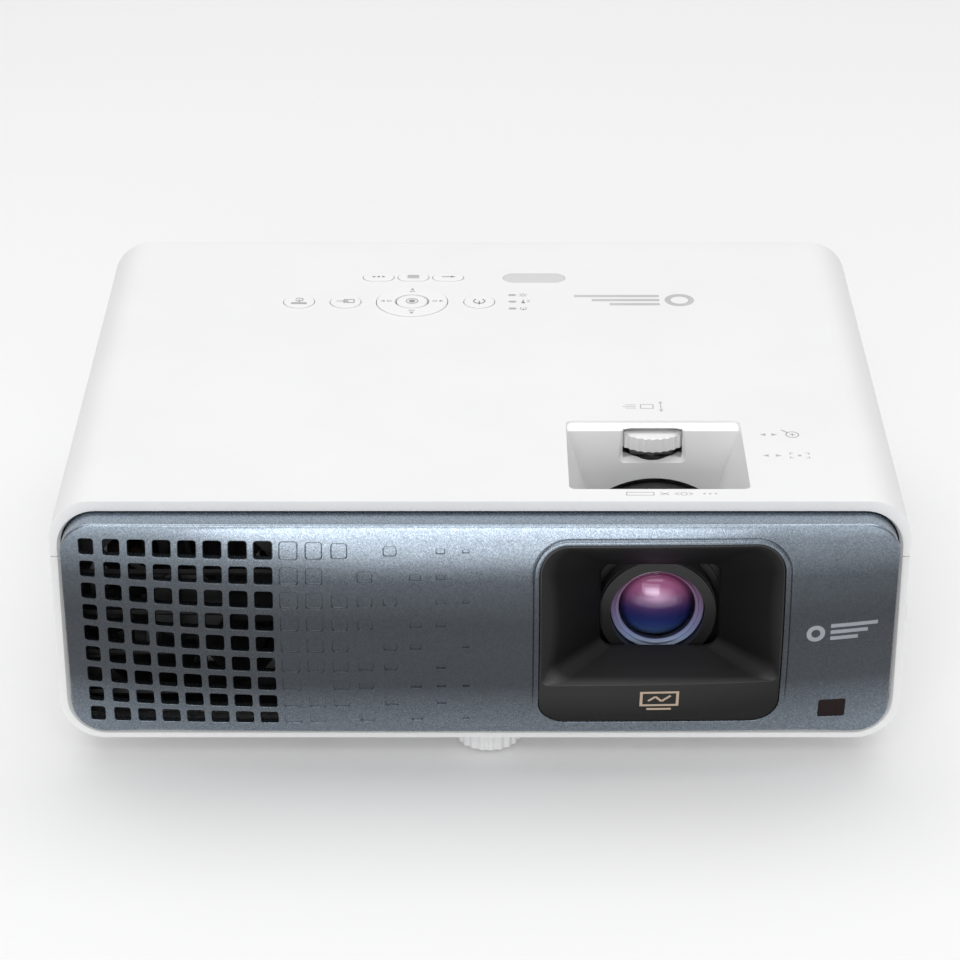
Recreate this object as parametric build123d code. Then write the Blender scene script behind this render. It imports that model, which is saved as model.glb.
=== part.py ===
"""Home projector: white two-part casing, metallic front panel, black lens hood.

Row frame: X to the right seen from the front, Y towards the back, Z up.
The origin is under the middle of the object, on the surface it stands on.
"""

import os
from math import cos, pi, radians, sin

from build123d import *

# ---- Driving dimensions, millimetres ----
WIDTH = 304.0
CASE_FRONT = -109.0
CASE_BACK = 126.0
TOP = 108.0
FOOT_H = 11.0
SHELL = 3.0
TOP_R = 15.0
BOTTOM_R = 16.0
BACK_R = 4.0
PART_Z = 86.0
PART_GAP = 0.3

# front panel
PANEL_HALF = 147.5
PANEL_LOW = 14.4
PANEL_HIGH = 103.2
PANEL_R = 12.5
PANEL_EDGE_Y = -114.0
PANEL_BACK_Y = -104.0
PANEL_MID_Z = 59.0
PANEL_LEAN = 0.07
DOME = 12.0
PANEL_WALL = 2.6
VENT_PITCH_X = 8.87
VENT_PITCH_Z = 8.9
VENT_LAST_X = -75.9
VENT_TOP_Z = 94.5
VENT_ROWS = 9
VENT_COLUMNS = 8
DIMPLE_WIDTHS = [6.4, 5.8, 5.55, 5.2, 4.6, 3.9, 3.1, 2.25]
DIMPLE_HEIGHTS = [6.2, 5.8, 5.2, 4.1, 3.2, 2.3, 1.6, 1.0]
DIMPLE_ROWS = [
    (1, 2, 3, 5, 7, 8), (1, 2, 4, 6, 7), (1, 2, 3, 4, 5, 7, 8), (1, 2, 3, 4, 6, 7), (1, 2, 3, 5, 6, 8),
    (1, 2, 3, 4, 5, 7), (1, 3, 4, 6, 7, 8), (1, 2, 3, 5, 7), (1, 2, 4, 6, 8),
]
IR_X, IR_Z = 126.7, 26.4
IR_W, IR_H = 9.7, 8.1

# lens and its recess
LENS_X = 64.5
LENS_Z = 53.0
HOOD_X0, HOOD_X1 = 20.8, 107.3
HOOD_Z0, HOOD_Z1 = 21.0, 96.3
HOOD_R = 10.5
HOOD_CREASE_Z = 41.0
MOUTH_X0, MOUTH_X1 = 43.6, 86.3
MOUTH_Z0, MOUTH_Z1 = 41.0, 75.0
MOUTH_Y = -94.5
RECESS_X0, RECESS_X1 = 31.2, 95.9
RECESS_Y0, RECESS_Y1 = -99.6, -44.8
RECESS_LOW = 87.0
WALL_LOW = 80.0
ARCH_R = 34.3
ZOOM_RING_R = 33.1
RECESS_DRAFT = 6.5
SLOPE_Y, SLOPE_Z = -49.4, 105.9
FAR_WALL_LOW_Y = -51.6
RING_WELL_Y = -78.0
WINDOW_W = 19.6
WINDOW_Z0, WINDOW_Z1 = 95.2, 106.2
PIT_Z, PIT_R = 88.5, 11.8
DIAL_X = 63.5
DIAL_Y = -37.6
DIAL_R = 14.5
DIAL_Z0, DIAL_Z1 = 98.4, 104.4

# keys: centre x, centre y
KEY_ROW_Y = 62.4
RING_X = -27.1
ROUND_KEYS = {"power_key": -0.3, "source_key": -53.6, "eco_key": -72.1}
PILL_ROW_Y = 86.7
PILL_KEYS = {"mode_key": -41.1, "menu_key": -27.0, "back_key": -12.9}
KEY_R = 6.1
KEY_GAP = 0.3
KEY_Z0 = 104.2
RING_R = 14.15
RING_IN_R = 6.8

# feet
FOOT_X, FOOT_Y = 3.2, -91.5
REAR_FEET = [(-118.0, 98.0), (118.0, 98.0)]
FOOT_R = 12.2

# top: indicator light pipes, receiver window; case screws and ceiling mount inserts
LIGHT_PIPES = [(12.9, 69.2), (12.9, 62.7), (12.9, 56.0)]
IR_TOP = (21.9, 86.1)
SCREW_BOSSES = [(-58.0, -97.0), (131.0, -96.0), (-131.0, 116.0), (131.0, 116.0), (-20.0, 41.0)]
INSERTS = [(-100.0, -61.0), (100.0, -61.0), (-100.0, 61.0), (100.0, 61.0)]
INSERT_HOLE_R = 1.65

# inside and back
PIPE_Z = (34.0, 52.0, 70.0)
PIPE_R = 3.0
EXHAUST_X, EXHAUST_Z = -106.5, 57.0
INTAKE_Y, INTAKE_Z = 0.0, 51.0
PORTS = {
    "mains_inlet": (86.0, 28.0, 20.5, 38.0),
    "hdmi_a": (40.0, 16.0, 6.6, 31.8),
    "hdmi_b": (14.0, 16.0, 6.6, 31.8),
    "usb": (-12.0, 14.6, 7.2, 32.1),
    "serial": (-46.0, 19.0, 10.4, 33.6),
    "audio": (-74.0, 8.6, 8.6, 33.4),
}


def rounded(x0, x1, z0, z1, r_top, r_low):
    """An outline drawn as (X, Z) with its own radius on the top and on the lower corners."""
    face = Pos((x0 + x1) / 2, (z0 + z1) / 2) * Rectangle(x1 - x0, z1 - z0)
    by_height = face.vertices().sort_by(Axis.Y)
    face = fillet(by_height[-2:], r_top)
    by_height = face.vertices().sort_by(Axis.Y)
    return fillet(by_height[:2], r_low)


def slab(outline, y0, y1):
    """The outline run back from y0 to y1."""
    return extrude(Plane.XZ.offset(-y0) * outline, -(y1 - y0))


def block(x0, x1, y0, y1, z0, z1):
    return Pos((x0 + x1) / 2, (y0 + y1) / 2, (z0 + z1) / 2) * Box(x1 - x0, y1 - y0, z1 - z0)


def rod_z(x, y, z0, z1, r):
    return Pos(x, y, (z0 + z1) / 2) * Cylinder(r, z1 - z0)


def rod_y(x, z, y0, y1, r):
    return Pos(x, (y0 + y1) / 2, z) * Rot(90, 0, 0) * Cylinder(r, y1 - y0)


def rod_x(y, z, x0, x1, r):
    return Pos((x0 + x1) / 2, y, z) * Rot(0, 90, 0) * Cylinder(r, x1 - x0)


def tube_z(x, y, z0, z1, r_out, r_in):
    return rod_z(x, y, z0, z1, r_out) - rod_z(x, y, z0 - 1, z1 + 1, r_in)


def tube_y(x, z, y0, y1, r_out, r_in):
    return rod_y(x, z, y0, y1, r_out) - rod_y(x, z, y0 - 1, y1 + 1, r_in)


def group(shapes):
    """Separate solids kept in one node."""
    solids = []
    for shape in shapes:
        solids += shape.solids()
    return Compound(solids)


def case_outline(inset=0.0):
    half = WIDTH / 2 - inset
    return rounded(-half, half, FOOT_H + inset, TOP - inset, TOP_R - inset, BOTTOM_R - inset)


def mouth_outline_grown(grow):
    """The front mouth that the panel sits in, with half a millimetre of shadow gap."""
    half = PANEL_HALF + 0.6 + grow
    low = PANEL_LOW - 0.4 - min(grow, 1.0)
    high = PANEL_HIGH + 0.5 + min(grow, 0.5)
    return rounded(-half, half, low, high, PANEL_R + 0.5 + grow, PANEL_R + 0.4 + grow)


def case_shell():
    """The whole hollow casing before it is parted: open at the front, closed at the back."""
    outer = slab(case_outline(), CASE_FRONT, CASE_BACK)
    back = outer.faces().sort_by(Axis.Y)[-1]
    outer = fillet(back.edges(), BACK_R)
    inner = slab(case_outline(SHELL), CASE_FRONT + 5, CASE_BACK - SHELL)
    mouth = slab(mouth_outline_grown(0.0), CASE_FRONT - 1, CASE_FRONT + 6)
    flare = loft([
        Plane.XZ.offset(-CASE_FRONT) * mouth_outline_grown(1.3),
        Plane.XZ.offset(-CASE_FRONT - 1.3) * mouth_outline_grown(0.0),
    ])
    return outer - inner - mouth - flare


def recess_walls(grow=0.0, z_low=RECESS_LOW):
    """The drafted well of the adjustment recess; grow makes its outside."""
    top_z = TOP + 1
    rise = top_z - z_low
    draft = RECESS_DRAFT * rise / (TOP - RECESS_LOW)
    mid_x = (RECESS_X0 + RECESS_X1) / 2
    mid_y = (RECESS_Y0 + RECESS_Y1) / 2
    front_draft = 2.4 * draft / RECESS_DRAFT
    wide = RECESS_X1 - RECESS_X0 + 2 * grow
    deep = RECESS_Y1 - RECESS_Y0 + 2 * grow
    top_face = Plane((mid_x, mid_y, top_z)) * RectangleRounded(wide, deep, 2.5 + grow)
    low_plane = Plane((mid_x, mid_y - front_draft / 2, z_low))
    low_face = low_plane * RectangleRounded(wide - 2 * draft, deep - front_draft, 2.5 + grow)
    return loft([top_face, low_face])


def dial_window():
    """Window that shows the dial, with a bevelled surround and a floor that sags with the dial's edge."""
    half = WINDOW_W / 2
    x0, x1 = DIAL_X - half, DIAL_X + half
    lip = WINDOW_Z0 + 1.3
    outline = make_face(
        Polyline((x0, lip), (x0, WINDOW_Z1), (x1, WINDOW_Z1), (x1, lip))
        + ThreePointArc((x1, lip), (DIAL_X, WINDOW_Z0), (x0, lip))
    )
    opening = slab(fillet(outline.vertices(), 2.6), FAR_WALL_LOW_Y - 3, -44.0)
    chamber = rod_z(DIAL_X, DIAL_Y, WINDOW_Z0 - 0.4, WINDOW_Z1, DIAL_R + 1.0)
    chamber += rod_z(DIAL_X, DIAL_Y, PIT_Z, WINDOW_Z0, PIT_R)
    wide = Pos(DIAL_X, WINDOW_Z0 + 6.3) * RectangleRounded(WINDOW_W + 8.0, 18.0, 2.0)
    narrow = Pos(DIAL_X, WINDOW_Z0 + 5.3) * RectangleRounded(WINDOW_W + 0.4, 10.8, 2.8)
    surround = loft([Plane.XZ.offset(-SLOPE_Y + 2.6) * wide, Plane.XZ.offset(-SLOPE_Y - 2.0) * narrow])
    return opening + chamber + surround


def key_plan():
    """Every hole that the keypad needs in the top cover, as (name, outline, x, y)."""
    plan = [("nav", Circle(RING_R + KEY_GAP), RING_X, KEY_ROW_Y)]
    for name, x in ROUND_KEYS.items():
        plan.append((name, Circle(KEY_R + KEY_GAP), x, KEY_ROW_Y))
    for name, x in PILL_KEYS.items():
        plan.append((name, SlotOverall(12.4 + 2 * KEY_GAP, 7.2 + 2 * KEY_GAP), x, PILL_ROW_Y))
    return plan


def top_cover():
    cover = case_shell() & block(-160, 160, -120, 130, PART_Z + PART_GAP / 2, 120)
    cover -= recess_walls()
    outside = recess_walls(SHELL - 0.8, WALL_LOW)
    deep_part = block(20, 110, RING_WELL_Y, -30, WALL_LOW, RECESS_LOW)
    walls = outside & (block(20, 110, -105, -30, RECESS_LOW, TOP - 1) + deep_part)
    # a shallow slope leads from the top down to the steep far wall, and the dial looks out of that wall
    far_wall = Polyline(
        (RECESS_Y1 + 0.2, TOP - 0.6),
        (SLOPE_Y, SLOPE_Z),
        (FAR_WALL_LOW_Y, WALL_LOW),
        (RECESS_Y1 + 0.2, WALL_LOW),
        close=True,
    )
    wedge = extrude(Plane.YZ.offset(RECESS_X0 - 1) * make_face(far_wall), RECESS_X1 - RECESS_X0 + 2)
    walls += wedge & outside
    # the walls stop at an arch just clear of the zoom ring
    walls -= rod_y(LENS_X, LENS_Z, RING_WELL_Y - 1, RECESS_Y1 + 3, ARCH_R)
    cover += walls - (recess_walls(z_low=WALL_LOW - 1) - wedge)
    cover -= dial_window()
    for _, outline, x, y in key_plan():
        cover -= extrude(Plane((x, y, TOP - 6)) * outline, 8)
    for x, y in LIGHT_PIPES:
        cover -= extrude(Plane((x, y, TOP - 6)) * SlotOverall(3.1, 1.9), 8)
    cover -= extrude(Plane((IR_TOP[0], IR_TOP[1], TOP - 6)) * SlotOverall(25.3, 9.3), 8)
    for x, y in SCREW_BOSSES:
        cover += tube_z(x, y, PART_Z + PART_GAP / 2, TOP - 2, 3.6, 1.25)
    return cover


def bottom_case():
    case = case_shell() & block(-160, 160, -120, 130, 0, PART_Z - PART_GAP / 2)
    # the lap that stands inside the top cover's wall
    for grow, z0, z1 in [(0.0, PART_Z - 6, PART_Z - PART_GAP / 2), (0.1, PART_Z - 2, PART_Z + 2.2)]:
        lap = slab(case_outline(SHELL + grow), CASE_FRONT + 5.2, CASE_BACK - SHELL - grow)
        lap -= slab(case_outline(SHELL + 1.5), CASE_FRONT + 4, CASE_BACK - SHELL - 1.5)
        case += lap & block(-160, 160, -104, 130, z0, z1)
    for x, y in SCREW_BOSSES:
        case += tube_z(x, y, FOOT_H + 1, PART_Z - PART_GAP / 2, 3.8, 1.7)
        case -= rod_z(x, y, FOOT_H - 1, FOOT_H + 8, 3.2)
        case += tube_z(x, y, FOOT_H + 8, FOOT_H + 10, 3.8, 1.7)
    for x, y in INSERTS:
        case += tube_z(x, y, FOOT_H, FOOT_H + 10.5, 5.6, 3.2)
        case -= rod_z(x, y, FOOT_H - 1, FOOT_H + 9.0, 3.2)
    for x, y in [(FOOT_X, FOOT_Y)] + REAR_FEET:
        case += tube_z(x, y, FOOT_H, FOOT_H + 17, 8.0, 6.0)
        case -= rod_z(x, y, FOOT_H - 1, FOOT_H + 16, 6.0)
    # rear connector opening, intake louvres on the right and exhaust slots on the left
    case -= slab(Pos(0, 41) * RectangleRounded(216, 40, 3), CASE_BACK - 8, CASE_BACK + 2)
    case -= block(WIDTH / 2 - 6, WIDTH / 2 + 2, -42.3, 42.3, 26.8, 75.2)
    for i in range(9):
        z = 30 + 5.6 * i
        slot = Plane.YZ.offset(-WIDTH / 2 - 1) * (Pos(-42, z) * SlotOverall(60, 2.6))
        case -= extrude(slot, 8)
    for i in range(15):
        slot = Pos(-108 + 5 * i, 71.5) * SlotOverall(12, 2.4, rotation=90)
        case -= slab(slot, CASE_BACK - 8, CASE_BACK + 2)
    # the side catch's pocket
    case -= block(WIDTH / 2 - 2.0, WIDTH / 2 + 1, CASE_FRONT + 1.2, CASE_FRONT + 26, 58.3, 65.2)
    return case


def dome_y(x, z):
    """Front of the panel: it leans a little and swells towards its middle."""
    lean = PANEL_EDGE_Y - PANEL_LEAN * (z - PANEL_MID_Z)
    across = 1 - abs(x / PANEL_HALF) ** 3
    up = 1 - ((z - PANEL_MID_Z) / 45.0) ** 2
    return lean - DOME * across * up


def in_front(back=0.0):
    """Everything in front of the domed face moved back by the given amount."""
    columns = [-155 + 15.5 * i for i in range(21)]
    rows = [6 + 8.5 * i for i in range(13)]
    grid = [[Vector(x, dome_y(x, z) + back, z) for z in rows] for x in columns]
    face = Face.make_surface_from_array_of_points(grid, tol=0.005)
    return extrude(face, 40, dir=(0, -1, 0))


def vent_cells():
    """Centres and widths of the holes that go through the grille."""
    widths = [5.2, 5.9, 6.3] + [6.4] * 5
    for row in range(VENT_ROWS):
        z = VENT_TOP_Z - VENT_PITCH_Z * row
        for column, wide in enumerate(widths):
            yield VENT_LAST_X - VENT_PITCH_X * (VENT_COLUMNS - 1 - column), z, wide, 6.2


def dimple_cells():
    """The fading pattern of shallow dimples beside the grille."""
    for row, columns in enumerate(DIMPLE_ROWS):
        z = VENT_TOP_Z - VENT_PITCH_Z * row
        for column in columns:
            x = VENT_LAST_X + VENT_PITCH_X * column
            yield x, z, DIMPLE_WIDTHS[column - 1], DIMPLE_HEIGHTS[column - 1]


def cell_prisms(cells, y0, y1):
    solids = []
    for x, z, wide, high in cells:
        corner = min(1.0, 0.3 * high)
        solids += slab(Pos(x, z) * RectangleRounded(wide, high, corner), y0, y1).solids()
    return Compound(solids)


def hood_outline(grow=0.0):
    return rounded(
        HOOD_X0 - grow, HOOD_X1 + grow, HOOD_Z0 - grow, HOOD_Z1 + grow, HOOD_R + grow, HOOD_R + grow
    )


def front_panel():
    outline = rounded(-PANEL_HALF, PANEL_HALF, PANEL_LOW, PANEL_HIGH, PANEL_R, PANEL_R)
    panel = slab(outline, -135, PANEL_BACK_Y) - in_front()
    inside = rounded(
        -PANEL_HALF + PANEL_WALL, PANEL_HALF - PANEL_WALL, PANEL_LOW + PANEL_WALL, PANEL_HIGH - PANEL_WALL,
        PANEL_R - PANEL_WALL, PANEL_R - PANEL_WALL,
    )
    panel -= slab(inside, -135, PANEL_BACK_Y + 1) - in_front(PANEL_WALL)
    panel -= slab(hood_outline(0.15), -135, PANEL_BACK_Y + 2)
    panel -= cell_prisms(vent_cells(), -135, PANEL_BACK_Y + 1)
    panel -= cell_prisms(dimple_cells(), -135, PANEL_BACK_Y - 6) & in_front(0.5)
    panel -= slab(Pos(IR_X, IR_Z) * RectangleRounded(IR_W + 0.2, IR_H + 0.2, 1.0), -135, PANEL_BACK_Y + 1)
    return panel


def lens_hood():
    """Funnel with a horizontal floor, set in the panel; its bottom strip follows the panel's face."""
    hood = slab(hood_outline(), -135, -102.5) - in_front(0.3)
    hood += slab(rounded(36, 94, 34.5, 83.5, 6, 6), -104, MOUTH_Y)
    mouth = Pos((MOUTH_X0 + MOUTH_X1) / 2, (MOUTH_Z0 + MOUTH_Z1) / 2) * RectangleRounded(
        MOUTH_X1 - MOUTH_X0, MOUTH_Z1 - MOUTH_Z0, 3.5
    )
    wide_z1 = HOOD_Z1 - 1.2
    throat = Pos((HOOD_X0 + HOOD_X1) / 2, (HOOD_CREASE_Z + wide_z1) / 2) * RectangleRounded(
        HOOD_X1 - HOOD_X0 - 1.6, wide_z1 - HOOD_CREASE_Z, 8.5
    )
    funnel = loft([Plane.XZ.offset(124.0) * throat, Plane.XZ.offset(-MOUTH_Y + 1.5) * mouth])
    hood -= funnel
    hood -= slab(throat, -135, -124.0)
    hood -= slab(mouth, -98, MOUTH_Y + 1)
    hood -= block(HOOD_X0 + 3, HOOD_X1 - 3, -112, -102, HOOD_Z0 + 3, 34.4)
    return hood


def vent_louvres():
    """Dark blades behind the grille: they stop a look straight into the fan."""
    frame = block(-144.8, -70.5, -103.8, -96.5, 19.2, 98.8) - block(-143, -72.5, -110, -90, 21, 97)
    for i in range(5):
        z = 25.0 + 16.6 * i
        blade = Pos(-107.7, -100.1, z) * Rot(-35, 0, 0) * Box(71.6, 6.6, 1.4)
        frame += blade
    for x in (-126.0, -108.2, -90.4):
        frame += block(x - 0.8, x + 0.8, -103.5, -97, 20, 98)
    return frame


def front_ir_window():
    pane = slab(Pos(IR_X, IR_Z) * RectangleRounded(IR_W, IR_H, 0.9), -125, -103.4)
    return pane - in_front(0.35)


def top_ir_window():
    return extrude(Plane((IR_TOP[0], IR_TOP[1], TOP - 4)) * SlotOverall(25.0, 9.0), 3.9)


def light_pipes():
    pipes = [extrude(Plane((x, y, TOP - 9)) * SlotOverall(2.9, 1.7), 8.9) for x, y in LIGHT_PIPES]
    return group(pipes)


def keypad_board():
    board = block(-84, 38, 50, 96, TOP - 10.6, TOP - 9.1)
    for x, y in [(-80, 54), (34, 54), (-80, 92), (34, 92)]:
        board -= rod_z(x, y, TOP - 12, TOP - 8, 1.6)
    return board


def domed_key(outline, x, y):
    """A key cap with a flange under the cover that stops it falling out."""
    cap = extrude(Plane((x, y, KEY_Z0 - 0.2)) * outline, TOP + 0.35 - KEY_Z0 + 0.2)
    edge = cap.faces().sort_by(Axis.Z)[-1].edges()
    cap = fillet(edge, 0.35)
    grown = offset(outline, 0.7, kind=Kind.ARC)
    flange = extrude(Plane((x, y, KEY_Z0 - 1.2)) * grown, 0.9)
    stem = rod_z(x, y, KEY_Z0 - 3.4, KEY_Z0, 1.6)
    return cap + flange + stem


def nav_ring():
    outline = Circle(RING_R) - Circle(RING_IN_R)
    ring = extrude(Plane((RING_X, KEY_ROW_Y, KEY_Z0 - 0.2)) * outline, TOP + 0.45 - KEY_Z0 + 0.2)
    ring = fillet(ring.faces().sort_by(Axis.Z)[-1].edges(), 0.4)
    for angle in (0, 90, 180, 270):
        x = RING_X + 10.4 * cos(radians(angle))
        y = KEY_ROW_Y + 10.4 * sin(radians(angle))
        ring += rod_z(x, y, KEY_Z0 - 1.4, KEY_Z0, 1.5)
    return ring


def ring_carrier():
    """Thin moulded gimbal under the ring: the ring rocks on it and it rocks on the cover."""
    plate = tube_z(RING_X, KEY_ROW_Y, KEY_Z0 - 3.6, KEY_Z0 - 2.4, 12.0, 8.2)
    return plate


def shift_dial():
    dial = rod_z(DIAL_X, DIAL_Y, DIAL_Z0, DIAL_Z1, DIAL_R - 0.5)
    dial = chamfer(dial.faces().sort_by(Axis.Z)[-1].edges(), 0.8)
    lobes = []
    for i in range(32):
        angle = 2 * pi * i / 32
        x = DIAL_X + (DIAL_R - 0.9) * cos(angle)
        y = DIAL_Y + (DIAL_R - 0.9) * sin(angle)
        lobes.append(rod_z(x, y, DIAL_Z0, DIAL_Z1 - 0.8, 0.9))
    for lobe in lobes:
        dial += lobe
    dial += rod_z(DIAL_X, DIAL_Y, 81.5, DIAL_Z0 + 1, 2.5)
    return dial


def lens_bracket():
    """Plate bolted to the light engine; its lugs hold the two vertical guide rods."""
    plate = slab(rounded(LENS_X - 42, LENS_X + 42, 14.5, 93, 4, 4), -30, -26)
    plate -= rod_y(LENS_X, LENS_Z, -31, -25, 27.5)
    for side in (-1, 1):
        x = LENS_X + 36 * side
        for z0, z1 in ((14.5, 19.5), (88, 93)):
            plate += block(x - 5, x + 5, -43, -29.5, z0, z1)
            plate -= rod_z(x, -38, z0 - 1, z1 + 1, 2.0)
    plate += block(DIAL_X - 8, DIAL_X + 8, DIAL_Y - 5, -29.5, 93.0, 95.5)
    plate += block(DIAL_X - 8, DIAL_X + 8, -30, -26, 92, 95.5)
    plate -= rod_z(DIAL_X, DIAL_Y, 90, 97, 2.56)
    return plate


def guide_rods():
    return group([rod_z(LENS_X + 36 * side, -38, 14.6, 93, 2.0) for side in (-1, 1)])


def lens_carriage():
    plate = slab(rounded(LENS_X - 41, LENS_X + 41, 21.5, 84.5, 5, 5), -42.5, -33.5)
    plate -= rod_y(LENS_X, LENS_Z, -44, -32, 24.3)
    for side in (-1, 1):
        plate -= rod_z(LENS_X + 36 * side, -38, 20, 90, 2.05)
    plate += block(DIAL_X - 7, DIAL_X + 7, -41.5, -33.5, 84, 91.5)
    plate -= rod_z(DIAL_X, DIAL_Y, 80.4, 93, 2.56)
    return plate


def knurled_tube(y0, y1, r_out, r_in, grooves):
    ring = tube_y(LENS_X, LENS_Z, y0, y1, r_out, r_in)
    cuts = []
    for i in range(grooves):
        angle = 2 * pi * i / grooves
        x = LENS_X + r_out * cos(angle)
        z = LENS_Z + r_out * sin(angle)
        cuts.append(Pos(x, (y0 + y1) / 2 - 1, z) * Rot(90, 0, 0) * Cylinder(0.7, y1 - y0 - 7))
    for cut in cuts:
        ring -= cut
    return ring


def lens_barrel():
    barrel = tube_y(LENS_X, LENS_Z, -84, 2, 24.3, 21.7)
    barrel += tube_y(LENS_X, LENS_Z, -47.0, -42.5, 29.0, 22)
    barrel += tube_y(LENS_X, LENS_Z, -70.2, -67.2, 26.0, 22)
    return barrel


def zoom_ring():
    ring = knurled_tube(-67.0, -52.0, ZOOM_RING_R, 24.37, 60)
    lever = block(LENS_X - 2.5, LENS_X + 2.5, -62, -57, LENS_Z + ZOOM_RING_R - 1.5, LENS_Z + ZOOM_RING_R + 2)
    return (ring + lever) & rod_y(LENS_X, LENS_Z, -67, -52, ZOOM_RING_R + 0.6)


def focus_ring():
    return knurled_tube(-83.5, -71.0, 30.5, 24.37, 56)


def focus_cell():
    """Slides in the barrel; its front ring carries the front glass."""
    cell = tube_y(LENS_X, LENS_Z, -89.5, -62, 21.6, 18.6)
    cell += tube_y(LENS_X, LENS_Z, -91.5, -87.5, 21.2, 17.25)
    return cell


def front_lens():
    body = rod_y(LENS_X, LENS_Z, -93, -81, 17.2)
    ball = Pos(LENS_X, -66.8, LENS_Z) * Sphere(23.8)
    return body & ball


def zoom_cell():
    cell = tube_y(LENS_X, LENS_Z, -50, -20, 21.6, 15.0)
    glass = rod_y(LENS_X, LENS_Z, -40, -31, 15.0) & (Pos(LENS_X, -15, LENS_Z) * Sphere(26))
    return group([cell + glass])


def engine_housing():
    """Die-cast light engine behind the lens."""
    box = block(24, 106, -25.9, 46, 17, 90) - block(27, 103, -22, 43, 20, 87)
    box -= rod_y(LENS_X, LENS_Z, -27, -20, 25.2)
    box += block(6, 24.5, -13, 37, 24, 80) - block(9, 27.5, -10.5, 34.5, 27, 77)
    box -= block(20, 30, 2, 22, 34, 70)
    box -= rod_x(12, 52, 5, 10, 1.55)
    for i in range(7):
        x = 32 + 11 * i
        box += block(x - 0.9, x + 0.9, -18, 40, 89.5, 93)
    for x in (30, 100):
        for y in (-18, 38):
            box += rod_z(x, y, 14.2, 17.5, 4.0)
    return box


def image_chip_board():
    board = block(30, 98, 47.5, 49.1, 24, 84)
    board += block(52, 77, 46.1, 47.6, 42, 64)
    return board


def image_chip_sink():
    sink = block(46, 83, 49.2, 53, 34, 72)
    for i in range(8):
        x = 47 + 4.9 * i
        sink += block(x - 0.7, x + 0.7, 52.5, 64, 34, 72)
    return sink


def laser_module():
    base = block(-33, -5, -8, 32, 20, 84)
    for row in range(3):
        for column in range(2):
            base += rod_x(0 + 12 * row, 36 + 30 * column, -5.5, 5.5, 4.6)
    return base


def heat_sink_fins():
    fins = block(-146, -140, -66, 4, 28, 92)
    for i in range(15):
        x = -145 + 7.0 * i
        fins += block(x - 0.6, x + 0.6, -66, 4, 23, 97)
    fins += block(-146, -46, -34, -28, 90, 96)
    for z in PIPE_Z:
        fins -= rod_x(-8, z, -150, -30, PIPE_R + 0.02)
    return fins


def heat_pipes():
    pipes = []
    for z in PIPE_Z:
        pipes.append(rod_x(-8, z, -147, -33, PIPE_R))
    return group(pipes)


def fan_frame_y(x, z, y0, y1, size):
    frame = slab(Pos(x, z) * RectangleRounded(size, size, 5), y0, y1)
    frame -= rod_y(x, z, y0 - 1, y1 + 1, size / 2 - 2.5)
    frame += rod_y(x, z, y1 - 3, y1, 14)
    for angle in (45, 165, 285):
        arm = Pos(x, y1 - 1.5, z) * Rot(0, angle, 0) * Pos(size / 4, 0, 0) * Box(size / 2 - 1.0, 3, 3.5)
        frame += arm
    for dx in (-1, 1):
        for dz in (-1, 1):
            frame -= rod_y(x + dx * (size / 2 - 4.5), z + dz * (size / 2 - 4.5), y0 - 1, y1 + 1, 2.1)
    frame -= rod_y(x, z, y1 - 3.1, y1 - 1, 1.55)
    return frame


def fan_rotor_y(x, z, y0, y1, r, blades):
    hub = rod_y(x, z, y0, y1, 14)
    hub += rod_y(x, z, y1 - 0.5, y1 + 1.9, 1.5)
    blade = Box(r - 11, y1 - y0 + 3, 1.6)
    for i in range(blades):
        turned = Rot(0, 360 * i / blades, 0) * Pos((r + 11) / 2 + 0.3, 0, 0) * Rot(38, 0, 0) * blade
        hub += Pos(x, (y0 + y1) / 2, z) * turned
    return hub & rod_y(x, z, y0, y1 + 1.9, r)


def turned_to_x(shape):
    """Fans are drawn about the Y axis; this lays one against the right-hand wall."""
    return Rot(0, 0, -90) * shape


def blower_housing():
    house = rod_z(14, 78, 70, 88, 24) - rod_z(14, 78, 72, 86, 22)
    house -= rod_z(14, 78, 85, 89, 14)
    duct = block(14, 44, 56, 72, 70, 88) - block(12, 46, 58, 70, 72, 86)
    return house + duct - rod_z(14, 78, 72, 86, 22) - rod_z(14, 78, 69.5, 73, 1.55)


def blower_wheel():
    wheel = rod_z(14, 78, 73, 84.5, 9) + rod_z(14, 78, 73, 74, 20)
    for i in range(24):
        turned = Rot(0, 0, 15 * i) * Pos(17.5, 0, 0) * Rot(0, 0, 30) * Box(5, 0.8, 11.5)
        wheel += Pos(14, 78, 78.75) * turned
    return wheel + rod_z(14, 78, 70.2, 73.5, 1.5)


def phosphor_wheel():
    wheel = rod_x(12, 52, 13.0, 14.5, 21) + rod_x(12, 52, 11.6, 13.2, 9)
    return wheel + rod_x(12, 52, 6.5, 12, 1.5)


def rear_panel():
    panel = slab(Pos(0, 41) * RectangleRounded(215.4, 39.4, 2.8), CASE_BACK - 3.4, CASE_BACK - 1.2)
    panel += slab(Pos(0, 41) * RectangleRounded(222, 46, 5), CASE_BACK - 5.2, CASE_BACK - 3.1)
    for x, wide, high, z in PORTS.values():
        opening = RectangleRounded(wide + 0.3, high + 0.3, 0.8)
        panel -= slab(Pos(x, z) * opening, CASE_BACK - 8, CASE_BACK + 1)
    return panel


def hdmi_socket(x, z):
    body = block(x - 7.9, x + 7.9, CASE_BACK - 14, CASE_BACK - 1.4, z - 3.2, z + 3.2)
    body -= block(x - 7.0, x + 7.0, CASE_BACK - 12.5, CASE_BACK, z - 2.3, z + 2.3)
    return body + block(x - 5.4, x + 5.4, CASE_BACK - 13, CASE_BACK - 3.0, z - 0.1, z + 0.9)


def hdmi_sockets():
    return group([hdmi_socket(*PORTS[name][::3]) for name in ("hdmi_a", "hdmi_b")])


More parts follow.
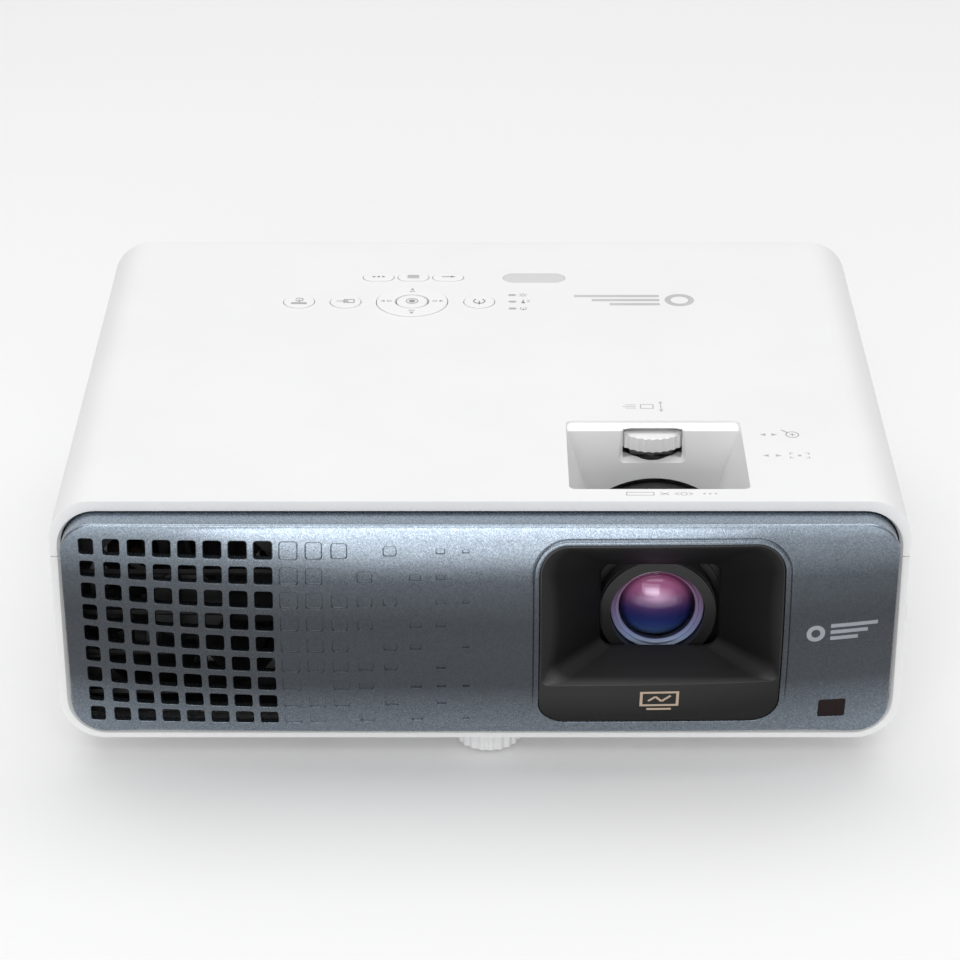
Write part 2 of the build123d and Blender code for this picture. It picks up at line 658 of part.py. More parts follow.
def usb_socket():
    x, _, _, z = PORTS["usb"]
    body = block(x - 7.2, x + 7.2, CASE_BACK - 17, CASE_BACK - 1.4, z - 3.5, z + 3.5)
    body -= block(x - 6.3, x + 6.3, CASE_BACK - 15.5, CASE_BACK, z - 2.6, z + 2.6)
    return body + block(x - 5.6, x + 5.6, CASE_BACK - 16, CASE_BACK - 3.0, z + 0.2, z + 2.0)


def audio_jack():
    x, _, _, z = PORTS["audio"]
    body = block(x - 4.8, x + 4.8, CASE_BACK - 17, CASE_BACK - 5.4, z - 4.8, z + 4.8)
    body += rod_y(x, z, CASE_BACK - 6, CASE_BACK - 1.0, 4.1)
    return body - rod_y(x, z, CASE_BACK - 15.5, CASE_BACK, 1.8)


def serial_connector():
    x, _, _, z = PORTS["serial"]
    shell = slab(Pos(x, z) * RectangleRounded(18.4, 9.8, 2.4), CASE_BACK - 12, CASE_BACK - 0.4)
    shell -= slab(Pos(x, z) * RectangleRounded(17.4, 8.8, 2.0), CASE_BACK - 6.4, CASE_BACK + 1)
    for row, count in ((1.42, 5), (-1.42, 4)):
        for i in range(count):
            px = x + 2.77 * (i - (count - 1) / 2)
            shell += rod_y(px, z + row, CASE_BACK - 7, CASE_BACK - 1.6, 0.5)
    return shell


def mains_inlet():
    x, wide, high, z = PORTS["mains_inlet"]
    body = slab(Pos(x, z) * RectangleRounded(wide, high, 1.5), CASE_BACK - 24, CASE_BACK - 0.6)
    body -= slab(Pos(x, z) * RectangleRounded(24.2, 16.8, 1.6), CASE_BACK - 18, CASE_BACK)
    for dx, dz in ((-7.0, 2.0), (7.0, 2.0), (0.0, -2.0)):
        body += block(x + dx - 1.0, x + dx + 1.0, CASE_BACK - 19, CASE_BACK - 5, z - dz - 2.0, z - dz + 2.0)
    return body


def main_board():
    board = block(-96, 70, 71, 120.6, 27.0, 28.6)
    for x, y, wide, deep, high in ((-60, 88, 22, 22, 3), (-20, 90, 16, 16, 2.4), (20, 86, 12, 12, 2)):
        board += block(x - wide / 2, x + wide / 2, y - deep / 2, y + deep / 2, 28.5, 28.6 + high)
    return board


def power_board():
    board = block(-144, -38, 14, 54, 22.0, 23.6)
    for x, y, r, high in ((-132, 30, 9, 34), (-108, 30, 9, 34)):
        board += rod_z(x, y, 23.5, 23.6 + high, r)
    board += block(-84, -56, 20, 48, 23.5, 46)
    board += block(-50, -47, 20, 50, 23.5, 58)
    return board


def speaker():
    x, y = 127.0, 63.0
    box = block(108, 146, 40, 86, 22, 58) - block(110, 144, 42, 84, 24, 56)
    box -= rod_z(x, y, 50, 60, 15)
    cone = tube_z(x, y, 55.9, 58.6, 17.4, 6.0) + rod_z(x, y, 54.5, 57.5, 7.0)
    return box + cone


def case_screws():
    screws = []
    for x, y in SCREW_BOSSES:
        head = rod_z(x, y, FOOT_H + 5.2, FOOT_H + 7.9, 2.9)
        screws.append(head + rod_z(x, y, FOOT_H + 7, PART_Z + 7, 1.25))
    return group(screws)


def mount_inserts():
    brass = [tube_z(x, y, FOOT_H + 0.2, FOOT_H + 8.9, 3.2, INSERT_HOLE_R) for x, y in INSERTS]
    return group(brass)


def intake_grille():
    grille = block(WIDTH / 2 - 2.6, WIDTH / 2 - 0.3, -42, 42, 27.0, 75.0)
    for i in range(8):
        z = 30.6 + 5.85 * i
        grille -= block(WIDTH / 2 - 4, WIDTH / 2 + 1, -39, -1.2, z - 1.3, z + 1.3)
        grille -= block(WIDTH / 2 - 4, WIDTH / 2 + 1, 1.2, 39, z - 1.3, z + 1.3)
    return grille


def side_catch():
    return block(WIDTH / 2 - 1.9, WIDTH / 2 + 0.6, CASE_FRONT + 1.4, CASE_FRONT + 25.8, 58.5, 65.0)


def adjuster_foot(x, y, lobes):
    """Knurled wheel and threaded stud in one piece; it screws into the case."""
    wheel = rod_z(x, y, 1.6, 9.6, FOOT_R - 0.9)
    for i in range(lobes):
        angle = 2 * pi * i / lobes
        wheel += rod_z(x + (FOOT_R - 1.5) * cos(angle), y + (FOOT_R - 1.5) * sin(angle), 1.9, 9.4, 1.5)
    wheel += rod_z(x, y, 9, FOOT_H + 14, 5.9)
    return wheel - rod_z(x, y, 1.0, 3.0, 5.05)


def foot_pad(x, y):
    return rod_z(x, y, 0, 2.9, 5.0)


def save(node, shape):
    shape.label = node
    export_step(shape, f"parts/{node}.step")


os.makedirs("parts", exist_ok=True)
save("top_cover", top_cover())
save("bottom_case", bottom_case())
save("front_panel", front_panel())
save("vent_louvres", vent_louvres())
save("lens_hood", lens_hood())
save("front_ir_window", front_ir_window())
save("top_ir_window", top_ir_window())
save("light_pipes", light_pipes())
save("keypad_board", keypad_board())
for key, key_x in ROUND_KEYS.items():
    save(key, domed_key(Circle(KEY_R), key_x, KEY_ROW_Y))
for key, key_x in PILL_KEYS.items():
    save(key, domed_key(SlotOverall(12.4, 7.2), key_x, PILL_ROW_Y))
save("ok_key", domed_key(Circle(KEY_R), RING_X, KEY_ROW_Y))
save("nav_ring", nav_ring())
save("ring_carrier", ring_carrier())
save("shift_dial", shift_dial())
save("lens_bracket", lens_bracket())
save("guide_rods", guide_rods())
save("lens_carriage", lens_carriage())
save("lens_barrel", lens_barrel())
save("zoom_ring", zoom_ring())
save("focus_ring", focus_ring())
save("focus_cell", focus_cell())
save("front_lens", front_lens())
save("zoom_cell", zoom_cell())
save("engine_housing", engine_housing())
save("image_chip_board", image_chip_board())
save("image_chip_sink", image_chip_sink())
save("laser_module", laser_module())
save("laser_heat_sink", heat_sink_fins())
save("heat_pipes", heat_pipes())
save("exhaust_fan_frame", fan_frame_y(EXHAUST_X, EXHAUST_Z, -95, -70, 80))
save("exhaust_fan_rotor", fan_rotor_y(EXHAUST_X, EXHAUST_Z, -93, -73.6, 36.5, 7))
save("intake_fan_frame", turned_to_x(fan_frame_y(-INTAKE_Y, INTAKE_Z, 124, 144, 60)))
save("intake_fan_rotor", turned_to_x(fan_rotor_y(-INTAKE_Y, INTAKE_Z, 126, 140.4, 26.5, 7)))
save("blower_housing", blower_housing())
save("blower_wheel", blower_wheel())
save("phosphor_wheel", phosphor_wheel())
save("rear_panel", rear_panel())
save("hdmi_sockets", hdmi_sockets())
save("usb_socket", usb_socket())
save("audio_jack", audio_jack())
save("serial_connector", serial_connector())
save("mains_inlet", mains_inlet())
save("main_board", main_board())
save("power_board", power_board())
save("speaker", speaker())
save("case_screws", case_screws())
save("mount_inserts", mount_inserts())
save("intake_grille", intake_grille())
save("side_catch", side_catch())
save("front_foot", adjuster_foot(FOOT_X, FOOT_Y, 21))
save("front_foot_pad", foot_pad(FOOT_X, FOOT_Y))
for side, (foot_x, foot_y) in zip(("left", "right"), REAR_FEET):
    save(f"rear_foot_{side}", adjuster_foot(foot_x, foot_y, 21))
    save(f"rear_foot_pad_{side}", foot_pad(foot_x, foot_y))
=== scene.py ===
"""Home projector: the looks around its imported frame. Metres, +Z up, the lens looks along -Y."""
import math

import bmesh
import bpy
import numpy as np
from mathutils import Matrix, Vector


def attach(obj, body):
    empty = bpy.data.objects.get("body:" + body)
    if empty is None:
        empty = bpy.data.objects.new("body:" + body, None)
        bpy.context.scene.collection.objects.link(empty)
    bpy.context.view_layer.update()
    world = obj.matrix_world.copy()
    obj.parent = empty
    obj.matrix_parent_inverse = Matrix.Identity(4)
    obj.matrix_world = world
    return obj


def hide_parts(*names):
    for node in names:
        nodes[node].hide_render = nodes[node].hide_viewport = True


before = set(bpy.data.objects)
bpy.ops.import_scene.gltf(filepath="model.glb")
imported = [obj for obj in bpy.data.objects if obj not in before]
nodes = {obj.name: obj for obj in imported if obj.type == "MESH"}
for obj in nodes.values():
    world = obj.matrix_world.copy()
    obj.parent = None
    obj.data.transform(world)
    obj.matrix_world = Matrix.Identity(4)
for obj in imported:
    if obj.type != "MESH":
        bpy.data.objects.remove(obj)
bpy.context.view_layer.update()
mm = 0.001

# ---------------------------------------------------------------------------
# Studio: a wide pale table under a big soft ceiling, a soft box in front and the camera.
# The front foot and the two rear feet stand on the table.
table_half = 4.0


def table_mesh():
    """Flat square, z = 0 everywhere, on a 9 by 9 grid."""
    line = np.linspace(-table_half, table_half, 9)
    x, y = np.meshgrid(line, line)
    verts = np.stack([x, y, np.zeros_like(x)], -1).reshape(-1, 3)
    first = (np.arange(8)[:, None] * 9 + np.arange(8)).reshape(-1)
    quads = np.stack([first, first + 1, first + 10, first + 9], 1)
    mesh = bpy.data.meshes.new("table")
    mesh.from_pydata(verts.tolist(), [], quads.tolist())
    return mesh


table = bpy.data.objects.new("table", table_mesh())
bpy.context.scene.collection.objects.link(table)
table_paper = bpy.data.materials.new("table_paper")
table_paper.use_nodes = True
paper_shader = table_paper.node_tree.nodes["Principled BSDF"]
paper_shader.inputs["Base Color"].default_value = (0.87, 0.87, 0.87, 1)
paper_shader.inputs["Emission Color"].default_value = (1, 1, 1, 1)
paper_shader.inputs["Emission Strength"].default_value = 0.07
paper_shader.inputs["Roughness"].default_value = 0.9
paper_shader.inputs["Specular IOR Level"].default_value = 0.1
table.data.materials.append(table_paper)


def soft_box(name, place, aim, size, watts, colour=(1, 1, 1)):
    """A square area light at place that faces aim."""
    light = bpy.data.lights.new(name, "AREA")
    light.shape = "RECTANGLE"
    light.size, light.size_y = size
    light.energy = watts
    light.color = colour
    lamp = bpy.data.objects.new(name, light)
    bpy.context.scene.collection.objects.link(lamp)
    lamp.location = place
    away = np.array(place) - np.array(aim)
    tilt = math.atan2(math.hypot(away[0], away[1]), away[2])
    lamp.rotation_euler = (tilt, 0, math.atan2(away[0], -away[1]))
    return lamp


soft_box("ceiling_box", (0.0, 0.26, 1.7), (0, 0.05, 0), (2.4, 1.6), 15.7)
soft_box("front_box", (-0.16, -1.4, 0.39), (0, -0.1, 0.08), (0.78, 0.42), 3.9)
soft_box("high_box", (0.0, -1.05, 1.02), (0.03, -0.1, 0.08), (0.9, 0.3), 2.0)

room = bpy.data.worlds.new("room")
bpy.context.scene.world = room
room.use_nodes = True
room_nodes, room_links = room.node_tree.nodes, room.node_tree.links
heading = room_nodes.new("ShaderNodeTexCoord")
height = room_nodes.new("ShaderNodeSeparateXYZ")
fade = room_nodes.new("ShaderNodeValToRGB")
fade.color_ramp.elements[0].position = 0.45
fade.color_ramp.elements[0].color = (0.26, 0.26, 0.265, 1)
fade.color_ramp.elements[1].position = 1.0
fade.color_ramp.elements[1].color = (0.95, 0.95, 0.95, 1)
half_height = room_nodes.new("ShaderNodeMath")
half_height.operation = "MULTIPLY_ADD"
half_height.inputs[1].default_value = 0.5
half_height.inputs[2].default_value = 0.5
room_links.new(heading.outputs["Generated"], height.inputs[0])
room_links.new(height.outputs["Z"], half_height.inputs[0])
room_links.new(half_height.outputs[0], fade.inputs[0])
room_links.new(fade.outputs[0], room_nodes["Background"].inputs["Color"])
room_nodes["Background"].inputs["Strength"].default_value = 0.75

view = bpy.data.cameras.new("view")
view.sensor_width = 36.0
view.lens = 117.45
view.clip_start = 0.05
camera = bpy.data.objects.new("camera", view)
bpy.context.scene.collection.objects.link(camera)
camera.location = (0.0, -1.0805, 0.617)
camera.rotation_euler = (math.radians(90 - 27.26), 0, 0)
bpy.context.scene.camera = camera
bpy.context.scene.view_settings.view_transform = "Standard"

# ---------------------------------------------------------------------------
# Casing: top cover, deep lower tub, side catch and intake grille, injection moulded in white plastic
# with a very fine spark-eroded texture. The screw feet wheels are dressed with the keys below.


def moulded_plastic(name, colour, rough, grain_mm, bump, cloud=0.02):
    """Moulded plastic: a fine even grain in the bump and a faint slow cloud in colour and gloss."""
    material = bpy.data.materials.new(name)
    material.use_nodes = True
    tree, links = material.node_tree.nodes, material.node_tree.links
    shader = tree["Principled BSDF"]
    where = tree.new("ShaderNodeTexCoord")
    grain = tree.new("ShaderNodeTexNoise")
    grain.inputs["Scale"].default_value = 1.0 / (grain_mm * mm)
    grain.inputs["Detail"].default_value = 2.0
    slow = tree.new("ShaderNodeTexNoise")
    slow.inputs["Scale"].default_value = 22.0
    slow.inputs["Detail"].default_value = 3.0
    relief = tree.new("ShaderNodeBump")
    relief.inputs["Strength"].default_value = bump
    relief.inputs["Distance"].default_value = 0.05 * mm
    tone = tree.new("ShaderNodeValToRGB")
    for stop, level, share in zip(tone.color_ramp.elements, (0.35, 0.65), (1 - cloud, 1.0)):
        stop.position = level
        stop.color = (colour[0] * share, colour[1] * share, colour[2] * share, 1)
    gloss = tree.new("ShaderNodeMapRange")
    gloss.inputs["From Min"].default_value = 0.3
    gloss.inputs["From Max"].default_value = 0.7
    gloss.inputs["To Min"].default_value = rough - 0.04
    gloss.inputs["To Max"].default_value = rough + 0.04
    links.new(where.outputs["Object"], grain.inputs["Vector"])
    links.new(where.outputs["Object"], slow.inputs["Vector"])
    links.new(grain.outputs["Fac"], relief.inputs["Height"])
    links.new(relief.outputs["Normal"], shader.inputs["Normal"])
    links.new(slow.outputs["Fac"], tone.inputs["Fac"])
    links.new(tone.outputs["Color"], shader.inputs["Base Color"])
    links.new(slow.outputs["Fac"], gloss.inputs["Value"])
    links.new(gloss.outputs["Result"], shader.inputs["Roughness"])
    return material


def dress(node_names, material):
    """Gives CAD nodes their finish."""
    for node_name in node_names:
        mesh = nodes[node_name].data
        mesh.materials.clear()
        mesh.materials.append(material)


shell_white = moulded_plastic("shell_white", (0.915, 0.915, 0.917), 0.42, 0.35, 0.25, 0.012)
dress(["top_cover", "bottom_case", "side_catch", "intake_grille"], shell_white)

# ---------------------------------------------------------------------------
# Front panel: one blue-grey plastic moulding with a metallic flake lacquer, swelling towards its
# middle, pierced by the vent holes and dented by a fading pattern of dimples. It clips into the rim.
panel_half = 147.5
panel_low, panel_high = 14.4, 103.2
panel_corner = 12.5
panel_back = -104.0
panel_lean = 0.07
panel_swell = 11.95
panel_mid = 59.0
cell_x, cell_z = 8.87, 8.9
cells_left = -75.9 - 7.5 * cell_x
cells_top = 94.5 + 0.5 * cell_z
hole_wide = np.array([5.2, 5.9, 6.3, 6.4, 6.4, 6.4, 6.4, 6.4])
dimple_wide = np.array([6.4, 5.8, 5.55, 5.2, 4.6, 3.9, 3.1, 2.25])
dimple_high = np.array([6.2, 5.8, 5.2, 4.1, 3.2, 2.3, 1.6, 1.0])
dimple_rows = ["11101011", "11010110", "11111011", "11110110", "11101101",
               "11111010", "10110111", "11101010", "11010101"]
hood_x0, hood_x1 = 20.8, 107.3
hood_z0, hood_z1 = 21.0, 96.3
hood_corner = 10.5


def panel_face(x, z):
    """Depth of the panel's face: a gentle lean plus a pillow, cubic across and square up the height."""
    across = 1 - np.abs(x / panel_half) ** 3
    up = 1 - ((z - panel_mid) / 45.0) ** 2
    return -114.0 - panel_lean * (z - panel_mid) - panel_swell * across * up


def round_loop(x0, x1, z0, z1, radius, bend, across, upright):
    """Closed loop of a rounded rectangle, from the middle of its low left corner, anticlockwise.

    Each corner turns a quarter circle in 2 * bend steps; the straights are divided evenly so that
    the low and high sides have `across` steps and the upright sides `upright` steps, half corners included.
    radius is one number, or four for the low left, low right, high right and high left corners.
    """
    r = np.broadcast_to(np.asarray(radius, float), (4,))
    centres = np.array([[x0 + r[0], z0 + r[0]], [x1 - r[1], z0 + r[1]],
                        [x1 - r[2], z1 - r[2]], [x0 + r[3], z1 - r[3]]])
    points = []
    for corner in range(4):
        after = (corner + 1) % 4
        steps = across if corner % 2 == 0 else upright
        middle = math.radians(225 + 90 * corner)
        leave = middle + np.linspace(0, math.pi / 4, bend + 1)
        arrive = middle + math.pi / 2 + np.linspace(-math.pi / 4, 0, bend + 1)
        out = centres[corner] + r[corner] * np.stack([np.cos(leave), np.sin(leave)], 1)
        into = centres[after] + r[after] * np.stack([np.cos(arrive), np.sin(arrive)], 1)
        share = np.linspace(0, 1, steps - 2 * bend + 1)[1:-1, None]
        run = out[-1] + (into[0] - out[-1]) * share
        points += [out, run, into[:-1]]
    return np.concatenate(points)


def square_loop(x0, x1, z0, z1, across, upright):
    """Closed loop of a plain rectangle with evenly spaced points, from its low left corner."""
    x, z = np.linspace(x0, x1, across + 1), np.linspace(z0, z1, upright + 1)
    low = np.stack([x[:-1], np.full(across, z0)], 1)
    right = np.stack([np.full(upright, x1), z[:-1]], 1)
    high = np.stack([x[:0:-1], np.full(across, z1)], 1)
    left = np.stack([np.full(upright, x0), z[:0:-1]], 1)
    return np.concatenate([low, right, high, left])


def loft_rings(rings):
    """Quads between successive closed rings of the same number of points, and the stacked points."""
    rings = np.asarray(rings)
    count, around = rings.shape[:2]
    here = np.arange(around)
    ahead = (here + 1) % around
    base = (np.arange(count - 1) * around)[:, None]
    quads = np.stack([base + here, base + ahead, base + around + ahead, base + around + here], -1)
    return rings.reshape(-1, 3), quads.reshape(-1, 4)


def on_face(loop, back=0.0):
    """A flat (x, z) loop laid on the panel's face, moved back by the given depth."""
    return np.stack([loop[:, 0], panel_face(loop[:, 0], loop[:, 1]) + back, loop[:, 1]], 1)


def build_mesh(name, parts, towards=(0, -1, 0), weld=1e-6, flat=False):
    """One mesh of several (points in mm, faces) parts, its seams welded, its faces smooth.
    The skin is turned so that most of it looks towards the given direction, or all of it if flat."""
    points, faces, start = [], [], 0
    for part_points, part_faces in parts:
        points.append(np.asarray(part_points) * mm)
        faces += (np.asarray(part_faces) + start).tolist()
        start += len(part_points)
    mesh = bpy.data.meshes.new(name)
    mesh.from_pydata(np.concatenate(points).tolist(), [], faces)
    shape = bmesh.new()
    shape.from_mesh(mesh)
    bmesh.ops.remove_doubles(shape, verts=shape.verts, dist=weld)
    outward = Vector(towards)
    if flat:
        shape.normal_update()
        bmesh.ops.reverse_faces(shape, faces=[face for face in shape.faces if face.normal.dot(outward) < 0])
    else:
        bmesh.ops.recalc_face_normals(shape, faces=shape.faces)
        if sum(face.calc_area() * face.normal.dot(outward) for face in shape.faces) < 0:
            bmesh.ops.reverse_faces(shape, faces=shape.faces)
    for face in shape.faces:
        face.smooth = True
    shape.to_mesh(mesh)
    shape.free()
    return mesh


def add_piece(name, mesh, body, material):
    """A finished piece that rides on a body."""
    piece = bpy.data.objects.new(name, mesh)
    bpy.context.scene.collection.objects.link(piece)
    mesh.materials.append(material)
    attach(piece, body)
    return piece


def grow_rounded(cx, cz, wide, high, corner, grow, bend, steps):
    """Loop of a cell's rounded opening grown by a margin."""
    half_w, half_h = wide / 2 + grow, high / 2 + grow
    radius = min(corner + grow, half_w * 0.98, half_h * 0.98)
    return round_loop(cx - half_w, cx + half_w, cz - half_h, cz + half_h, radius, bend, steps, steps)


def cell_tile(cx, cz, wide, high, depth, floor):
    """One tile of the vent pattern: square edge, rounded lip, wall, and a floor if it is a dimple."""
    corner = min(1.0, 0.3 * high)
    edge = square_loop(cx - cell_x / 2, cx + cell_x / 2, cz - cell_z / 2, cz + cell_z / 2, 8, 8)
    lip = 0.30 if not floor else 0.16
    rings = [on_face(edge)]
    for grow, back in ((lip * 1.35, 0.0), (lip, 0.0), (lip * 0.3, lip * 0.3), (0.0, lip)):
        rings.append(on_face(grow_rounded(cx, cz, wide, high, corner, grow, 2, 8), back))
    opening = grow_rounded(cx, cz, wide, high, corner, 0.0, 2, 8)
    if not floor:
        rings.append(on_face(opening, depth))
        return loft_rings(rings)
    rings.append(on_face(opening, depth - 0.12))
    centre = np.array([cx, cz])
    for share in (0.96, 0.88, 0.5, 0.05):
        rings.append(on_face(centre + (opening - centre) * share, depth))
    return loft_rings(rings)


def plain_patch(x_lines, z_lines):
    """The panel's face over a grid of given lines."""
    x, z = np.meshgrid(x_lines, z_lines)
    points = np.stack([x, panel_face(x, z), z], -1).reshape(-1, 3)
    wide = len(x_lines)
    first = (np.arange(len(z_lines) - 1)[:, None] * wide + np.arange(wide - 1)).reshape(-1)
    return points, np.stack([first, first + wide, first + wide + 1, first + 1], 1)


def panel_parts():
    parts = []
    rows, columns = len(dimple_rows), len(hole_wide)
    cells_low = cells_top - rows * cell_z
    for row in range(rows):
        cz = cells_top - (row + 0.5) * cell_z
        for column in range(columns):
            cx = cells_left + (column + 0.5) * cell_x
            parts.append(cell_tile(cx, cz, hole_wide[column], 6.2, 2.8, False))
            cx += columns * cell_x
            if dimple_rows[row][column] == "1":
                parts.append(cell_tile(cx, cz, dimple_wide[column], dimple_high[column], 0.5, True))
            else:
                lines = np.linspace(-0.5, 0.5, 9)
                parts.append(plain_patch(cx + cell_x * lines, cz + cell_z * lines))
    # between the pattern and the hood, then the hood's surround, then the right-hand end
    upright = rows * 8
    z_lines = np.linspace(cells_low, cells_top, upright + 1)
    cells_right = cells_left + 2 * columns * cell_x
    hood_left, hood_right = 15.0, 113.1
    parts.append(plain_patch(np.linspace(cells_right, hood_left, 15), z_lines))
    surround = [square_loop(hood_left, hood_right, cells_low, cells_top, 88, upright)]
    flat = [on_face(surround[0])]
    groove = ((3.2, 0.0), (2.35, 0.0), (2.22, 0.05), (2.12, 0.5), (1.92, 0.5), (1.82, 0.05), (1.7, -0.06),
              (0.5, -0.06), (0.25, 0.0), (0.08, 0.12), (0.0, 0.3), (0.0, 3.0))
    for grow, back in groove:
        loop = round_loop(hood_x0 - grow, hood_x1 + grow, max(hood_z0 - grow, cells_low + 0.02 * grow),
                          min(hood_z1 + grow, cells_top - 0.02), hood_corner + grow, 12, 88, upright)
        depth = back
        if grow > 1.0 and back > 0:
            fade_low = np.clip((loop[:, 1] - hood_z0 - 4) / 14, 0, 1)
            depth = back * fade_low
        flat.append(on_face(loop, depth))
    parts.append(loft_rings(flat))
    window_cz, window_cx = 26.4, 126.7
    right_end = 136.0
    window_top = z_lines[16]
    parts.append(plain_patch(np.linspace(hood_right, right_end, 25), z_lines[16:]))
    ring = [on_face(square_loop(hood_right, right_end, cells_low, window_top, 24, 16))]
    for grow, back in ((0.45, 0.0), (0.3, 0.0), (0.1, 0.1), (0.0, 0.3), (0.0, 2.6)):
        half_w, half_h = 4.85 + grow, 4.05 + grow
        window_loop = round_loop(window_cx - half_w, window_cx + half_w,
                                 window_cz - half_h, window_cz + half_h, 0.9 + grow, 3, 24, 16)
        ring.append(on_face(window_loop, back))
    parts.append(loft_rings(ring))
    # border: out to the rolled edge, then round it and back to the rim
    x_lines = np.concatenate([
        np.linspace(cells_left, cells_right, 16 * 8 + 1), np.linspace(cells_right, hood_left, 15)[1:],
        np.linspace(hood_left, hood_right, 89)[1:], np.linspace(hood_right, right_end, 25)[1:],
    ])
    across = len(x_lines) - 1
    low = np.stack([x_lines[:-1], np.full(across, cells_low)], 1)
    right = np.stack([np.full(upright, right_end), z_lines[:-1]], 1)
    high = np.stack([x_lines[:0:-1], np.full(across, cells_top)], 1)
    left = np.stack([np.full(upright, cells_left), z_lines[:0:-1]], 1)
    inner = np.concatenate([low, right, high, left])
    outer = round_loop(-panel_half, panel_half, panel_low, panel_high, panel_corner, 14, across, upright)
    middle = np.array([0.0, (panel_low + panel_high) / 2])
    inward = np.roll(outer, -1, 0) - np.roll(outer, 1, 0)
    inward = np.stack([-inward[:, 1], inward[:, 0]], 1)
    inward /= np.linalg.norm(inward, axis=1, keepdims=True)
    height = (outer[:, 1] - panel_low) / (panel_high - panel_low)
    side_fade = np.clip((panel_half - np.abs(outer[:, 0])) / 30, 0.15, 1)
    roll = 0.8 + 3.0 * np.clip(1 - height / 0.75, 0, 1) ** 1.5 * side_fade
    seat = outer + inward * roll[:, None]
    rings = [on_face(inner)]
    for share in (0.35, 0.7, 1.0):
        rings.append(on_face(inner + (seat - inner) * share))
    seat_y = panel_face(seat[:, 0], seat[:, 1])
    for turn in np.radians([12, 25, 40, 55, 70, 82, 90]):
        loop = seat - inward * (roll * math.sin(turn))[:, None]
        rings.append(np.stack([loop[:, 0], seat_y + roll * (1 - math.cos(turn)), loop[:, 1]], 1))
    for depth in (-107.5, panel_back):
        rings.append(np.stack([outer[:, 0], np.full(len(outer), depth), outer[:, 1]], 1))
    parts.append(loft_rings(rings[::-1]))
    return parts


def flake_lacquer():
    """Metallic lacquer: dark blue-grey base, fine bright flakes that tilt each its own way, clear coat, and
    painted light by height: a painted highlight along the top, painted shade over the middle, lighter again
    towards the bottom.
    """
    material = bpy.data.materials.new("flake_lacquer")
    material.use_nodes = True
    tree, links = material.node_tree.nodes, material.node_tree.links
    shader = tree["Principled BSDF"]
    shader.inputs["Metallic"].default_value = 0.9
    shader.inputs["Coat Weight"].default_value = 0.5
    shader.inputs["Coat Roughness"].default_value = 0.3
    where = tree.new("ShaderNodeTexCoord")
    flakes = tree.new("ShaderNodeTexVoronoi")
    flakes.inputs["Scale"].default_value = 1 / (0.42 * mm)
    speck = tree.new("ShaderNodeSeparateColor")
    tone = tree.new("ShaderNodeValToRGB")
    tone.color_ramp.elements[0].position = 0.0
    tone.color_ramp.elements[0].color = (0.150, 0.182, 0.220, 1)
    tone.color_ramp.elements[1].position = 1.0
    tone.color_ramp.elements[1].color = (0.250, 0.294, 0.345, 1)
    tilt = tree.new("ShaderNodeBump")
    tilt.inputs["Strength"].default_value = 0.22
    tilt.inputs["Distance"].default_value = 0.06 * mm
    rough = tree.new("ShaderNodeMapRange")
    rough.inputs["To Min"].default_value = 0.22
    rough.inputs["To Max"].default_value = 0.32
    links.new(where.outputs["Object"], flakes.inputs["Vector"])
    links.new(flakes.outputs["Color"], speck.inputs[0])
    split = tree.new("ShaderNodeSeparateXYZ")
    height = tree.new("ShaderNodeMapRange")
    height.inputs["From Min"].default_value = panel_low * mm
    height.inputs["From Max"].default_value = panel_high * mm
    # painted light: the base colour is scaled by height, brightest as a painted highlight near the top edge,
    # darkest over the middle and lighter at the bottom
    painted_light_share = tree.new("ShaderNodeValToRGB")
    while len(painted_light_share.color_ramp.elements) < 7:
        painted_light_share.color_ramp.elements.new(0.5)
    painted_light_stops = ((0.05, 1.0), (0.15, 0.7), (0.3, 0.26), (0.6, 0.2), (0.78, 0.34), (0.94, 1.0), (0.985, 1.6))
    for stop, (place, share) in zip(painted_light_share.color_ramp.elements, painted_light_stops):
        stop.position = place
        stop.color = (share, share, share, 1)
    blend = tree.new("ShaderNodeMix")
    blend.data_type = "RGBA"
    blend.blend_type = "MULTIPLY"
    blend.inputs["Factor"].default_value = 1.0
    links.new(speck.outputs[0], tone.inputs["Fac"])
    links.new(where.outputs["Object"], split.inputs[0])
    links.new(split.outputs["Z"], height.inputs["Value"])
    links.new(height.outputs["Result"], painted_light_share.inputs["Fac"])
    links.new(tone.outputs["Color"], blend.inputs["A"])
    links.new(painted_light_share.outputs["Color"], blend.inputs["B"])
    links.new(blend.outputs["Result"], shader.inputs["Base Color"])
    links.new(speck.outputs[1], tilt.inputs["Height"])
    links.new(tilt.outputs["Normal"], shader.inputs["Normal"])
    links.new(speck.outputs[2], rough.inputs["Value"])
    links.new(rough.outputs["Result"], shader.inputs["Roughness"])
    return material


lacquer = flake_lacquer()
panel_mesh = build_mesh("metallic_front_panel", panel_parts(), weld=2e-6)
panel = add_piece("metallic_front_panel", panel_mesh, "root", lacquer)
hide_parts("front_panel")

# ---------------------------------------------------------------------------
# Infrared window: a dark red pane glued behind the panel's square opening.


def dark_pane(name, colour, inner, rough):
    """Tinted glossy pane: the tone deepens in slow patches under a clear smooth skin."""
    material = moulded_plastic(name, colour, rough, 2.5, 0.02, inner)
    shader = material.node_tree.nodes["Principled BSDF"]
    shader.inputs["Specular IOR Level"].default_value = 0.12
    shader.inputs["Coat Weight"].default_value = 0.12
    shader.inputs["Coat Roughness"].default_value = 0.1
    return material


dress(["front_ir_window"], dark_pane("front_window_red", (0.012, 0.0035, 0.004), 0.3, 0.4))
dress(["top_ir_window"], dark_pane("top_window_grey", (0.70, 0.70, 0.705), 0.02, 0.35))

# ---------------------------------------------------------------------------
# Lens hood: one black moulding let into the panel. Its bottom strip follows the panel's face, and
# above a crease a funnel with soft inner corners narrows to the mouth in front of the lens.
mouth_x0, mouth_x1 = 43.6, 86.3
mouth_z0, mouth_z1 = 41.0, 75.0
mouth_y = -94.5
crease_z = 40.8


